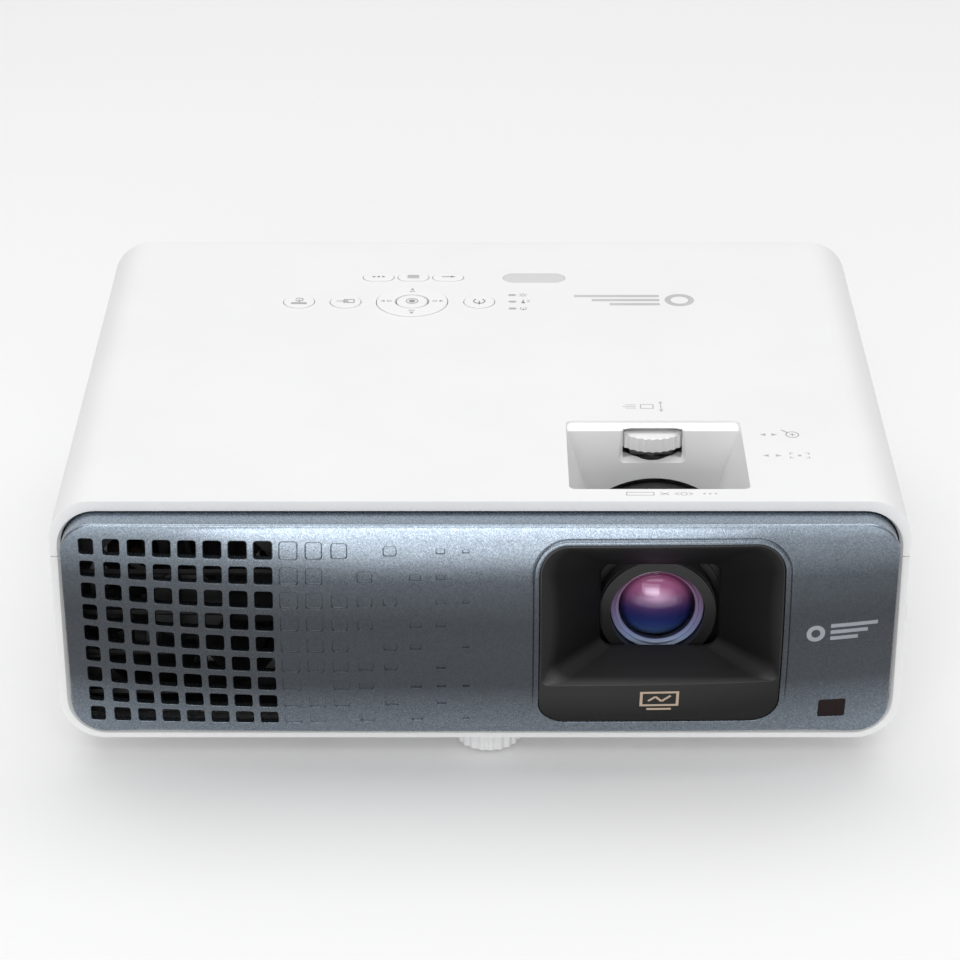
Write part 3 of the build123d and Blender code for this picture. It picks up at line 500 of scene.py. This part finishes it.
def hood_parts():
    """Closed loops carried from the hood's outline over the strip and crease and down the funnel."""
    bend, across, upright = 10, 80, 64
    gap = 0.22

    def outline(grow):
        return round_loop(hood_x0 - grow, hood_x1 + grow, hood_z0 - grow, hood_z1 + grow, hood_corner + grow,
                          bend, across, upright)

    rings = []
    for grow, back in ((-gap, 3.4), (-gap, 0.55), (-gap - 0.07, 0.38), (-gap - 0.25, 0.3)):
        rings.append(on_face(outline(grow), back))
    start = outline(-gap - 0.35)
    crease = round_loop(hood_x0 + 0.75, hood_x1 - 0.75, crease_z, hood_z1 - 0.75, (3.0, 3.0, 9.8, 9.8),
                        bend, across, upright)
    for share in (0.0, 0.12, 0.3, 0.5, 0.7, 0.88, 0.985, 1.0):
        rings.append(on_face(start + (crease - start) * share, 0.3))
    lip = on_face(crease, 0.3)
    mouth = round_loop(mouth_x0, mouth_x1, mouth_z0, mouth_z1,
                       (5.2, 5.2, 3.0, 3.0), bend, across, upright)
    soft = round_loop(hood_x0 + 0.95, hood_x1 - 0.95, crease_z + 0.12, hood_z1 - 0.95, (7.5, 7.5, 9.6, 9.6),
                      bend, across, upright)
    for share, blend_in in ((0.006, 0.0), (0.016, 0.05), (0.06, 0.55), (0.12, 1.0), (0.25, 1.0), (0.4, 1.0),
                            (0.55, 1.0), (0.7, 1.0), (0.85, 1.0), (0.96, 1.0), (1.0, 1.0)):
        front = crease + (soft - crease) * blend_in
        flat = front + (mouth - front) * share
        depth = lip[:, 1] + (mouth_y - lip[:, 1]) * share
        rings.append(np.stack([flat[:, 0], depth, flat[:, 1]], 1))
    for grow, depth in ((0.12, mouth_y + 0.25), (0.3, mouth_y + 0.4), (0.35, mouth_y + 1.6)):
        edge = round_loop(mouth_x0 - grow, mouth_x1 + grow, mouth_z0 - grow, mouth_z1 + grow,
                          (5.2 + grow, 5.2 + grow, 3 + grow, 3 + grow), bend, across, upright)
        rings.append(np.stack([edge[:, 0], np.full(len(edge), depth), edge[:, 1]], 1))
    return [loft_rings(rings)]


def painted_light_black(name):
    """Matt black moulding with painted shade that makes it blacker deep in the funnel, and painted light
    that makes its upward faces paler.
    """
    material = moulded_plastic(name, (0.030, 0.030, 0.0305), 0.55, 0.3, 0.35, 0.12)
    tree, links = material.node_tree.nodes, material.node_tree.links
    shader = tree["Principled BSDF"]
    shader.inputs["Specular IOR Level"].default_value = 0.18
    plain = shader.inputs["Base Color"].links[0].from_socket
    where = tree.new("ShaderNodeTexCoord")
    place = tree.new("ShaderNodeSeparateXYZ")
    # painted shade: the colour darkens deeper in the funnel, towards the lens
    depth = tree.new("ShaderNodeMapRange")
    for socket, value in (("From Min", -121 * mm), ("From Max", -116 * mm),
                          ("To Min", 1.0), ("To Max", 0.36)):
        depth.inputs[socket].default_value = value
    facing = tree.new("ShaderNodeNewGeometry")
    slope = tree.new("ShaderNodeSeparateXYZ")
    # painted light: faces turned upward are made up to 3.6 times paler
    painted_top_light = tree.new("ShaderNodeMapRange")
    for socket, value in (("From Min", 0.12), ("From Max", 0.6), ("To Min", 1.0), ("To Max", 3.6)):
        painted_top_light.inputs[socket].default_value = value
    painted_light_share = tree.new("ShaderNodeMath")
    painted_light_share.operation = "MULTIPLY"
    scale = tree.new("ShaderNodeVectorMath")
    scale.operation = "SCALE"
    links.new(where.outputs["Object"], place.inputs[0])
    links.new(place.outputs["Y"], depth.inputs["Value"])
    links.new(facing.outputs["Normal"], slope.inputs[0])
    links.new(slope.outputs["Z"], painted_top_light.inputs["Value"])
    links.new(depth.outputs["Result"], painted_light_share.inputs[0])
    links.new(painted_top_light.outputs["Result"], painted_light_share.inputs[1])
    links.new(plain, scale.inputs[0])
    links.new(painted_light_share.outputs[0], scale.inputs["Scale"])
    links.new(scale.outputs[0], shader.inputs["Base Color"])
    return material


hood_black = painted_light_black("hood_black")
hood_mesh = build_mesh("lens_hood_funnel", hood_parts())
hood = add_piece("lens_hood_funnel", hood_mesh, "root", hood_black)
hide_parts("lens_hood")

# ---------------------------------------------------------------------------
# Lens: coated glass in a black cell. The front element is a clear strongly curved meniscus, and on
# the elements behind it a painted reflection in their coatings' hues shows pink from above and blue from
# below, with a painted pink highlight.
lens_x, lens_z = 64.5, 53.0


def turned(profile, steps=96):
    """Surface of revolution about the lens axis: each (radius, y) of the profile goes round a circle."""
    profile = np.asarray(profile, float)
    angle = np.linspace(0, 2 * math.pi, steps, endpoint=False)
    radius = np.maximum(profile[:, :1], 1e-4)
    ring = np.stack([lens_x + radius * np.cos(angle), np.repeat(profile[:, 1:], steps, 1),
                     lens_z + radius * np.sin(angle)], -1)
    return loft_rings(ring)


def cap_profile(edge_r, ball_r, front_y, rings=18):
    """Meridian of a spherical cap, from its rim to its pole, which stands at front_y."""
    reach = np.linspace(edge_r, 0, rings)
    return np.stack([reach, front_y + ball_r - np.sqrt(ball_r**2 - reach**2)], 1)


def clear_glass():
    """Clear coated glass: the eye goes straight through, with a gloss that grows at grazing angles."""
    material = bpy.data.materials.new("clear_coated_glass")
    material.use_nodes = True
    tree, links = material.node_tree.nodes, material.node_tree.links
    tree.remove(tree["Principled BSDF"])
    through = tree.new("ShaderNodeBsdfTransparent")
    gloss = tree.new("ShaderNodeBsdfGlossy")
    gloss.inputs["Roughness"].default_value = 0.02
    gloss.inputs["Color"].default_value = (0.86, 0.80, 1.0, 1)
    weight = tree.new("ShaderNodeFresnel")
    weight.inputs["IOR"].default_value = 1.42
    where = tree.new("ShaderNodeTexCoord")
    haze = tree.new("ShaderNodeTexNoise")
    haze.inputs["Scale"].default_value = 90.0
    tint = tree.new("ShaderNodeValToRGB")
    tint.color_ramp.elements[0].color = (0.90, 0.88, 0.97, 1)
    tint.color_ramp.elements[1].color = (0.97, 0.96, 1.0, 1)
    mix = tree.new("ShaderNodeMixShader")
    links.new(where.outputs["Object"], haze.inputs["Vector"])
    links.new(haze.outputs["Fac"], tint.inputs["Fac"])
    links.new(tint.outputs["Color"], through.inputs["Color"])
    links.new(weight.outputs["Fac"], mix.inputs["Fac"])
    links.new(through.outputs[0], mix.inputs[1])
    links.new(gloss.outputs[0], mix.inputs[2])
    links.new(mix.outputs[0], tree["Material Output"].inputs["Surface"])
    return material


def painted_reflection_element(name, stops, reach, painted_highlight_height, rim_light):
    """Painted reflection on an inner element's coating: colour by height over the element, darker towards
    its middle, with a painted pink highlight spot and the colour scaled towards its rim.
    """
    material = bpy.data.materials.new(name)
    material.use_nodes = True
    tree, links = material.node_tree.nodes, material.node_tree.links
    shader = tree["Principled BSDF"]
    shader.inputs["Roughness"].default_value = 0.18
    shader.inputs["Coat Weight"].default_value = 1.0
    shader.inputs["Coat Roughness"].default_value = 0.03
    where = tree.new("ShaderNodeTexCoord")
    centre = tree.new("ShaderNodeMapping")
    centre.inputs["Location"].default_value = (-lens_x / reach, 0, -lens_z / reach)
    centre.inputs["Scale"].default_value = (1000 / reach, 0, 1000 / reach)
    split = tree.new("ShaderNodeSeparateXYZ")
    height = tree.new("ShaderNodeMapRange")
    height.inputs["From Min"].default_value = -1
    height.inputs["From Max"].default_value = 1
    # painted reflection: the colour follows the element's height through the listed stops
    ramp = tree.new("ShaderNodeValToRGB")
    ramp.color_ramp.interpolation = "B_SPLINE"
    while len(ramp.color_ramp.elements) < len(stops):
        ramp.color_ramp.elements.new(0.5)
    for element, (place, colour) in zip(ramp.color_ramp.elements, stops):
        element.position = place
        element.color = (*colour, 1)
    radius = tree.new("ShaderNodeVectorMath")
    radius.operation = "LENGTH"
    rim = tree.new("ShaderNodeValToRGB")
    rim.color_ramp.elements[0].position = 0.80
    rim.color_ramp.elements[0].color = (1, 1, 1, 1)
    rim.color_ramp.elements[1].position = 0.97
    rim.color_ramp.elements[1].color = (rim_light, rim_light, rim_light, 1)
    # painted highlight: a soft pink spot above the element's middle is added to the colour
    painted_highlight_distance = tree.new("ShaderNodeVectorMath")
    painted_highlight_distance.operation = "DISTANCE"
    painted_highlight_distance.inputs[1].default_value = (0.0, 0.0, painted_highlight_height)
    painted_highlight = tree.new("ShaderNodeValToRGB")
    painted_highlight.color_ramp.interpolation = "EASE"
    painted_highlight.color_ramp.elements[0].position = 0.0
    painted_highlight.color_ramp.elements[0].color = (1.0, 0.86, 0.92, 1)
    painted_highlight.color_ramp.elements[1].position = 0.42
    painted_highlight.color_ramp.elements[1].color = (0.0, 0.0, 0.0, 1)
    stretch = tree.new("ShaderNodeMapping")
    stretch.inputs["Scale"].default_value = (0.72, 0, 1.5)
    stretch.inputs["Location"].default_value = (0, 0, -0.5 * painted_highlight_height)
    add = tree.new("ShaderNodeMix")
    add.data_type = "RGBA"
    add.blend_type = "ADD"
    add.inputs["Factor"].default_value = 0.55
    shade = tree.new("ShaderNodeMix")
    shade.data_type = "RGBA"
    shade.blend_type = "MULTIPLY"
    shade.inputs["Factor"].default_value = 1.0
    links.new(where.outputs["Object"], centre.inputs["Vector"])
    links.new(centre.outputs["Vector"], split.inputs[0])
    links.new(centre.outputs["Vector"], radius.inputs[0])
    links.new(centre.outputs["Vector"], stretch.inputs["Vector"])
    links.new(stretch.outputs["Vector"], painted_highlight_distance.inputs[0])
    links.new(painted_highlight_distance.outputs["Value"], painted_highlight.inputs["Fac"])
    links.new(split.outputs["Z"], height.inputs["Value"])
    links.new(height.outputs["Result"], ramp.inputs["Fac"])
    links.new(radius.outputs["Value"], rim.inputs["Fac"])
    links.new(ramp.outputs["Color"], add.inputs["A"])
    links.new(painted_highlight.outputs["Color"], add.inputs["B"])
    links.new(add.outputs["Result"], shade.inputs["A"])
    links.new(rim.outputs["Color"], shade.inputs["B"])
    links.new(shade.outputs["Result"], shader.inputs["Base Color"])
    return material


def lens_piece(name, profile, body, material):
    return add_piece(name, build_mesh(name, [turned(profile)]), body, material)


pink_blue = painted_reflection_element("pink_blue_painted_reflection", [
    (0.0, (0.62, 0.80, 1.0)), (0.09, (0.22, 0.42, 0.86)),
    (0.24, (0.040, 0.085, 0.36)), (0.42, (0.045, 0.045, 0.20)),
    (0.58, (0.16, 0.07, 0.20)), (0.76, (0.62, 0.20, 0.38)),
    (0.92, (0.66, 0.13, 0.33)), (1.0, (0.30, 0.06, 0.18)),
], 13.6, 0.40, 0.35)
violet_rim = painted_reflection_element("violet_rim_painted_reflection", [
    (0.0, (0.70, 0.84, 1.0)), (0.14, (0.34, 0.46, 0.80)),
    (0.4, (0.36, 0.30, 0.50)), (0.62, (0.34, 0.22, 0.38)),
    (0.85, (0.22, 0.06, 0.16)), (1.0, (0.07, 0.02, 0.06)),
], 17.0, 3.0, 0.8)
glass_profile = cap_profile(17.0, 23.8, -90.6)
front_glass = lens_piece("front_glass", glass_profile, "focus_cell", clear_glass())
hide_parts("front_lens")
rim_steps = [(17.0, -87.2), (16.7, -87.6), (16.2, -87.4), (15.9, -86.2),
             (15.5, -86.2), (15.2, -87.2), (14.8, -87.5),
             (14.3, -87.3), (13.9, -86.0)]
lens_piece("second_element", rim_steps, "focus_cell", violet_rim)
lens_piece("third_element", cap_profile(13.9, 18.5, -89.2), "focus_cell", pink_blue)

# ---------------------------------------------------------------------------
# Lens barrel, focus cell, focus ring, zoom ring and the moving rear group: black anodised
# or black moulded, satin, with a fine grain.
barrel_black = moulded_plastic("barrel_black", (0.014, 0.014, 0.0145), 0.36, 0.4, 0.2, 0.1)
dress(["lens_barrel", "focus_cell", "zoom_cell", "focus_ring", "zoom_ring"], barrel_black)
dress(["front_lens"], pink_blue)

# ---------------------------------------------------------------------------
# Keys, ring, shift dial and foot wheels: matt white plastic, a touch cooler than the casing.
# The ring rocks on a grey gimbal, and the light pipes beside the keys are frosted and clear.
key_white = moulded_plastic("key_white", (0.915, 0.915, 0.92), 0.5, 0.25, 0.2, 0.012)
dress(["power_key", "ok_key", "nav_ring", "source_key",
       "eco_key", "mode_key", "menu_key", "back_key"], key_white)
dress(["shift_dial", "front_foot", "rear_foot_left", "rear_foot_right"], key_white)
dress(["ring_carrier"], moulded_plastic("gimbal_grey", (0.42, 0.42, 0.43), 0.5, 0.4, 0.2, 0.05))
pipe_frost = moulded_plastic("pipe_frost", (0.72, 0.73, 0.74), 0.3, 0.6, 0.1, 0.03)
pipe_frost.node_tree.nodes["Principled BSDF"].inputs["Transmission Weight"].default_value = 0.35
dress(["light_pipes"], pipe_frost)

# ---------------------------------------------------------------------------
# Printed marks on the top and on the keys: thin flat grey ink, plain pictures only. Those on a
# key or on the ring move with it.
cover_top = 108.0
key_top = 108.45


def bar(x0, y0, x1, y1, width, steps=8):
    """Straight stroke between two points: a 2 by steps grid."""
    along = np.linspace([x0, y0], [x1, y1], steps + 1)
    side = np.array([y0 - y1, x1 - x0]) / math.hypot(x1 - x0, y1 - y0) * width / 2
    points = np.concatenate([along - side, along + side])
    first = np.arange(steps)
    return points, np.stack([first, first + 1, first + steps + 2, first + steps + 1], 1)


def arc(cx, cy, radius, width, start=0.0, end=360.0, steps=40):
    """Curved stroke: a circle's arc between two angles in degrees."""
    turn = np.radians(np.linspace(start, end, steps + 1))
    spoke = np.stack([np.cos(turn), np.sin(turn)], 1)
    points = np.concatenate([spoke * (radius + width / 2), spoke * (radius - width / 2)]) + (cx, cy)
    first = np.arange(steps)
    return points, np.stack([first, first + 1, first + steps + 2, first + steps + 1], 1)


def disc(cx, cy, radius):
    return arc(cx, cy, radius / 2, radius * 0.998)


def arrow_head(cx, cy, size, heading):
    """Triangle whose tip lies in the heading, in degrees: one quad with a point in the middle of its back.
    """
    turn = np.radians(heading + np.array([0.0, 130.0, 180.0, 230.0]))
    reach = np.array([1.0, 1.0, 0.64, 1.0]) * size
    points = np.stack([np.cos(turn) * reach, np.sin(turn) * reach], 1) + (cx, cy)
    return points, np.array([[0, 1, 2, 3]])


def frame_box(cx, cy, wide, high, width):
    """Rectangle outline made of four strokes."""
    x0, x1, y0, y1 = cx - wide / 2, cx + wide / 2, cy - high / 2, cy + high / 2
    lap = width / 2
    return [bar(x0 - lap, y0, x1 + lap, y0, width), bar(x0 - lap, y1, x1 + lap, y1, width),
            bar(x0, y0 + lap, x0, y1 - lap, width), bar(x1, y0 + lap, x1, y1 - lap, width)]


def ink(name, colour):
    """Screen ink: flat colour with slight thin spots."""
    return moulded_plastic(name, colour, 0.55, 0.15, 0.15, 0.18)


def printed(name, shapes, body, material, lay, towards):
    """One printed mark: its flat shapes laid on the object by lay, all in one mesh."""
    parts = [(lay(points), faces) for points, faces in shapes]
    return add_piece(name, build_mesh(name, parts, towards, weld=0, flat=True), body, material)


def on_cover(points):
    return np.column_stack([points, np.full(len(points), cover_top + 0.02)])


def on_key(points):
    return np.column_stack([points, np.full(len(points), key_top + 0.015)])


up = (0, 0, 1)
ink_grey = ink("ink_grey", (0.36, 0.36, 0.37))
ink_light = ink("ink_light", (0.56, 0.56, 0.565))
ring_x, key_y, pill_y = -27.1, 62.4, 86.7
on_ring = []
for dx, dy, heading in ((0, 1, 90), (0, -1, 270), (1, 0, 0), (-1, 0, 180)):
    on_ring.append(arrow_head(ring_x + 11.6 * dx, key_y + 11.6 * dy, 1.05, heading))
    cx, cy = ring_x + 9.0 * dx, key_y + 9.0 * dy
    if dx:
        on_ring += [bar(cx - 0.9, cy - 0.55, cx + 0.9, cy - 0.3, 0.3),
                    bar(cx - 0.9, cy + 0.55, cx + 0.9, cy + 0.3, 0.3),
                    bar(cx + 0.9 * dx, cy - 0.4, cx + 0.9 * dx, cy + 0.4, 0.3)]
    else:
        start = 180 if dy < 0 else 0
        on_ring += [bar(cx - 1.0, cy, cx + 1.0, cy, 0.35), arc(cx, cy, 1.0, 0.3, start, start + 180)]
printed("ring_marks", on_ring, "nav_ring", ink_grey, on_key, up)
key_marks = {
    "ok_key": [disc(ring_x, key_y, 1.25), arc(ring_x, key_y, 2.3, 0.35)],
    "power_key": [arc(-0.3, key_y, 2.2, 0.5, -235, 55), bar(-0.3, key_y, -0.3, key_y - 3.0, 0.5)],
    "source_key": frame_box(-52.2, key_y, 4.0, 3.0, 0.35) + [bar(-57.2, key_y, -53.6, key_y, 0.35),
                                                             arrow_head(-53.0, key_y, 0.9, 0)],
    "eco_key": [arc(-72.1, key_y + 1.4, 1.5, 0.35, 200, 520),
                bar(-75.2, key_y - 1.6, -69.0, key_y - 1.6, 0.4),
                bar(-75.2, key_y - 2.6, -69.0, key_y - 2.6, 0.4),
                bar(-72.1, key_y - 0.6, -72.1, key_y + 1.6, 0.35)],
    "mode_key": [disc(-41.1 + 1.9 * k, pill_y, 0.6) for k in (-1, 0, 1)],
    "menu_key": [bar(-29.4, pill_y + 1.2 * k, -24.6, pill_y + 1.2 * k, 0.4) for k in (-1, 0, 1)],
    "back_key": [bar(-15.4, pill_y, -11.4, pill_y, 0.4), arrow_head(-11.0, pill_y, 1.1, 0)],
}
for key, shapes in key_marks.items():
    printed(key.replace("_key", "_mark"), shapes, key, ink_grey, on_key, up)
lamp_x = 17.2
beside_lamps = [arc(lamp_x, 69.2, 0.85, 0.3)]
beside_lamps += [bar(lamp_x + 1.3 * math.cos(a), 69.2 + 1.3 * math.sin(a), lamp_x + 1.9 * math.cos(a),
                     69.2 + 1.9 * math.sin(a), 0.25) for a in np.arange(8) * math.pi / 4]
beside_lamps += [disc(lamp_x, 61.8, 0.8), bar(lamp_x, 62, lamp_x, 64.5, 0.5)]
beside_lamps += [bar(lamp_x + 1.6, 62.4 + k, lamp_x + 2.6, 62.4 + k, 0.25) for k in (0, 0.8, 1.6)]
beside_lamps += [arc(lamp_x, 56.0, 1.2, 0.35, -235, 55), bar(lamp_x, 56.0, lamp_x, 54.3, 0.35)]
beside_recess = frame_box(62.0, -33.0, 4.6, 3.4, 0.4) + [
    bar(67.2, -35.5, 67.2, -30.5, 0.4), arrow_head(67.2, -29.6, 1.1, 90), arrow_head(67.2, -36.4, 1.1, 270),
    bar(53.0, -33.0, 58.0, -33.0, 0.4),
    bar(54.0, -31.6, 58.0, -31.6, 0.4), bar(54.0, -34.4, 58.0, -34.4, 0.4)]
beside_recess += [
    arc(114.0, -56.5, 2.3, 0.5), bar(112.4, -54.9, 110.2, -52.6, 0.6),
    bar(112.9, -56.5, 115.1, -56.5, 0.4), bar(114.0, -57.6, 114.0, -55.4, 0.4),
    arrow_head(103.4, -56.5, 1.3, 180), arrow_head(107.2, -56.5, 1.3, 0)]
for side in (-1, 1):
    edge = 115.2 + 3.4 * side
    for end in (-1, 1):
        beside_recess += [bar(edge, -73.4 + 1.9 * end, edge, -73.4 + 0.8 * end, 0.45),
                          bar(edge + 0.2 * side, -73.4 + 2.0 * end,
                              edge - 1.2 * side, -73.4 + 2.0 * end, 0.45)]
beside_recess += [disc(115.2, -73.4, 0.7),
                  arrow_head(103.2, -73.4, 1.3, 180), arrow_head(107.4, -73.4, 1.3, 0)]
in_front = frame_box(56.4, -103.2, 9.6, 2.2, 0.45) + [
    bar(63.4, -104.2, 66.6, -102.2, 0.45), bar(63.4, -102.2, 66.6, -104.2, 0.45),
    arc(71.8, -103.2, 1.1, 0.4),
    bar(68.6, -103.2, 70.2, -102.2, 0.4), bar(68.6, -103.2, 70.2, -104.2, 0.4),
    bar(75.0, -103.2, 73.4, -102.2, 0.4), bar(75.0, -103.2, 73.4, -104.2, 0.4),
    disc(79.0, -103.2, 0.5), disc(81.0, -103.2, 0.5), disc(83.0, -103.2, 0.5)]
printed("lamp_marks", beside_lamps, "root", ink_grey, on_cover, up)
printed("recess_marks", beside_recess + in_front, "root", ink_light, on_cover, up)
beam_mark = [arc(79.6, 64.2, 4.7, 2.4, steps=64)]
for step, length in enumerate((34.0, 27.0, 20.0)):
    beam_mark.append(bar(71.6, 68.2 - 4.0 * step, 71.6 - length, 68.2 - 4.0 * step, 2.1))
printed("cover_mark", beam_mark, "root", ink("ink_pale", (0.66, 0.66, 0.665)), on_cover, up)

# ---------------------------------------------------------------------------
# Printed marks on the front: a pale sun and beams on the panel, and on the hood's strip a small
# screen picture in warm gold ink.
forward = (0, -1, 0)


def on_panel(points):
    return on_face(points, -0.03)


def on_strip(points):
    return on_face(points, 0.27)


front_mark = [arc(118.9, 60.8, 2.5, 1.7, steps=48)]
for step, length in enumerate((17.0, 13.5, 10.0)):
    front_mark.append(bar(124.2, 63.5 - 2.6 * step, 124.2 + length, 63.5 - 2.6 * step, 1.5))
silver_ink = ink("ink_silver", (0.36, 0.38, 0.42))
printed("panel_mark", front_mark, "root", silver_ink, on_panel, forward)
screen_mark = frame_box(64.2, 33.6, 13.0, 6.6, 1.0) + [
    bar(60.2, 32.6, 62.8, 34.8, 0.9), bar(62.8, 34.8, 65.0, 32.4, 0.9),
    bar(65.0, 32.4, 68.2, 35.2, 0.9), bar(59.8, 28.2, 68.6, 28.2, 1.0)]
gold_ink = ink("gold_ink", (0.62, 0.49, 0.37))
gold_ink.node_tree.nodes["Principled BSDF"].inputs["Metallic"].default_value = 0.35
printed("strip_mark", screen_mark, "root", gold_ink, on_strip, forward)

# ---------------------------------------------------------------------------
# Air path: black louvres behind the vent holes, then fans, blower and speaker, moulded in
# black plastic with a coarser matt grain.
vent_black = moulded_plastic("vent_black", (0.020, 0.020, 0.022), 0.5, 0.5, 0.35, 0.2)
dress(["vent_louvres"], vent_black)
fan_black = moulded_plastic("fan_black", (0.026, 0.026, 0.028), 0.38, 0.6, 0.25, 0.25)
dress(["exhaust_fan_frame", "exhaust_fan_rotor", "intake_fan_frame", "intake_fan_rotor"], fan_black)
dress(["blower_housing", "blower_wheel", "speaker"], fan_black)

# ---------------------------------------------------------------------------
# Back: a charcoal connector panel with a mains inlet and a sound socket in black, and plated
# steel shells round the other sockets. Rubber pads end the three feet.


def bare_metal(name, colour, rough, lay, bump):
    """Bare metal: streaks or grains of a noise squeezed by lay vary its gloss, tone and relief."""
    material = bpy.data.materials.new(name)
    material.use_nodes = True
    tree, links = material.node_tree.nodes, material.node_tree.links
    shader = tree["Principled BSDF"]
    shader.inputs["Metallic"].default_value = 1.0
    where = tree.new("ShaderNodeTexCoord")
    squeeze = tree.new("ShaderNodeMapping")
    squeeze.inputs["Scale"].default_value = lay
    streak = tree.new("ShaderNodeTexNoise")
    streak.inputs["Scale"].default_value = 900.0
    streak.inputs["Detail"].default_value = 3.0
    stain = tree.new("ShaderNodeTexNoise")
    stain.inputs["Scale"].default_value = 60.0
    tone = tree.new("ShaderNodeValToRGB")
    tone.color_ramp.elements[0].position = 0.3
    tone.color_ramp.elements[0].color = (colour[0] * 0.78, colour[1] * 0.78, colour[2] * 0.78, 1)
    tone.color_ramp.elements[1].position = 0.7
    tone.color_ramp.elements[1].color = (*colour, 1)
    gloss = tree.new("ShaderNodeMapRange")
    gloss.inputs["To Min"].default_value = rough - 0.1
    gloss.inputs["To Max"].default_value = rough + 0.1
    relief = tree.new("ShaderNodeBump")
    relief.inputs["Strength"].default_value = bump
    relief.inputs["Distance"].default_value = 0.05 * mm
    links.new(where.outputs["Object"], squeeze.inputs["Vector"])
    links.new(squeeze.outputs["Vector"], streak.inputs["Vector"])
    links.new(where.outputs["Object"], stain.inputs["Vector"])
    links.new(stain.outputs["Fac"], tone.inputs["Fac"])
    links.new(tone.outputs["Color"], shader.inputs["Base Color"])
    links.new(streak.outputs["Fac"], gloss.inputs["Value"])
    links.new(gloss.outputs["Result"], shader.inputs["Roughness"])
    links.new(streak.outputs["Fac"], relief.inputs["Height"])
    links.new(relief.outputs["Normal"], shader.inputs["Normal"])
    return material


dress(["rear_panel"], moulded_plastic("panel_charcoal", (0.060, 0.062, 0.066), 0.48, 0.3, 0.3, 0.12))
dress(["mains_inlet", "audio_jack"],
      moulded_plastic("socket_black", (0.018, 0.018, 0.019), 0.4, 0.4, 0.2, 0.15))
plated_shell = bare_metal("plated_shell", (0.70, 0.69, 0.67), 0.3, (1, 0.15, 1), 0.1)
dress(["hdmi_sockets", "usb_socket", "serial_connector"], plated_shell)
rubber = moulded_plastic("pad_rubber", (0.022, 0.022, 0.022), 0.75, 0.8, 0.6, 0.3)
dress(["front_foot_pad", "rear_foot_pad_left", "rear_foot_pad_right"], rubber)

# ---------------------------------------------------------------------------
# Inside: die-cast light engine and brackets, aluminium heat sinks, copper pipes, steel rods and
# screws, brass inserts, green boards and the yellow phosphor wheel.
cast_grey = bare_metal("cast_grey", (0.50, 0.50, 0.51), 0.5, (0.4, 0.4, 0.4), 0.5)
dress(["engine_housing", "laser_module", "lens_bracket", "lens_carriage"], cast_grey)
dress(["laser_heat_sink", "image_chip_sink"],
      bare_metal("fin_aluminium", (0.74, 0.75, 0.76), 0.32, (1, 0.1, 0.1), 0.15))
dress(["heat_pipes"], bare_metal("pipe_copper", (0.72, 0.36, 0.22), 0.28, (0.2, 1, 1), 0.1))
dress(["guide_rods", "case_screws"], bare_metal("plated_steel", (0.62, 0.62, 0.63), 0.25, (1, 1, 0.2), 0.1))
dress(["mount_inserts"], bare_metal("insert_brass", (0.72, 0.55, 0.26), 0.35, (1, 1, 0.3), 0.15))


def board_laminate():
    """Green solder mask over copper: narrow cell borders stand for tracks."""
    material = bare_metal("board_laminate", (0.012, 0.11, 0.045), 0.35, (1, 1, 1), 0.1)
    tree, links = material.node_tree.nodes, material.node_tree.links
    shader = tree["Principled BSDF"]
    shader.inputs["Metallic"].default_value = 0.0
    shader.inputs["Coat Weight"].default_value = 0.4
    where = tree.new("ShaderNodeTexCoord")
    tracks = tree.new("ShaderNodeTexBrick")
    tracks.inputs["Scale"].default_value = 180.0
    tracks.inputs["Mortar Size"].default_value = 0.03
    tracks.inputs["Color1"].default_value = (0.010, 0.095, 0.040, 1)
    tracks.inputs["Color2"].default_value = (0.014, 0.120, 0.050, 1)
    tracks.inputs["Mortar"].default_value = (0.030, 0.200, 0.085, 1)
    links.new(where.outputs["Object"], tracks.inputs["Vector"])
    links.new(tracks.outputs["Color"], shader.inputs["Base Color"])
    return material


dress(["keypad_board", "main_board", "power_board", "image_chip_board"], board_laminate())


def phosphor_coat():
    """Bare metal disc with a yellow ring: colour by distance from the wheel's axis."""
    material = bare_metal("phosphor_coat", (0.7, 0.7, 0.7), 0.3, (1, 1, 1), 0.1)
    tree, links = material.node_tree.nodes, material.node_tree.links
    shader = tree["Principled BSDF"]
    shader.inputs["Metallic"].default_value = 0.0
    where = tree.new("ShaderNodeTexCoord")
    flat = tree.new("ShaderNodeMapping")
    flat.inputs["Scale"].default_value = (0, 1, 1)
    away = tree.new("ShaderNodeVectorMath")
    away.operation = "DISTANCE"
    away.inputs[1].default_value = (0, 0.012, 0.052)
    band = tree.new("ShaderNodeMapRange")
    band.inputs["From Max"].default_value = 0.021
    ramp = tree.new("ShaderNodeValToRGB")
    ramp.color_ramp.interpolation = "CONSTANT"
    ramp.color_ramp.elements[0].color = (0.62, 0.62, 0.62, 1)
    ramp.color_ramp.elements[1].position = 0.66
    ramp.color_ramp.elements[1].color = (0.86, 0.66, 0.05, 1)
    links.new(where.outputs["Object"], flat.inputs["Vector"])
    links.new(flat.outputs["Vector"], away.inputs[0])
    links.new(away.outputs["Value"], band.inputs["Value"])
    links.new(band.outputs["Result"], ramp.inputs["Fac"])
    links.new(ramp.outputs["Color"], shader.inputs["Base Color"])
    return material


dress(["phosphor_wheel"], phosphor_coat())
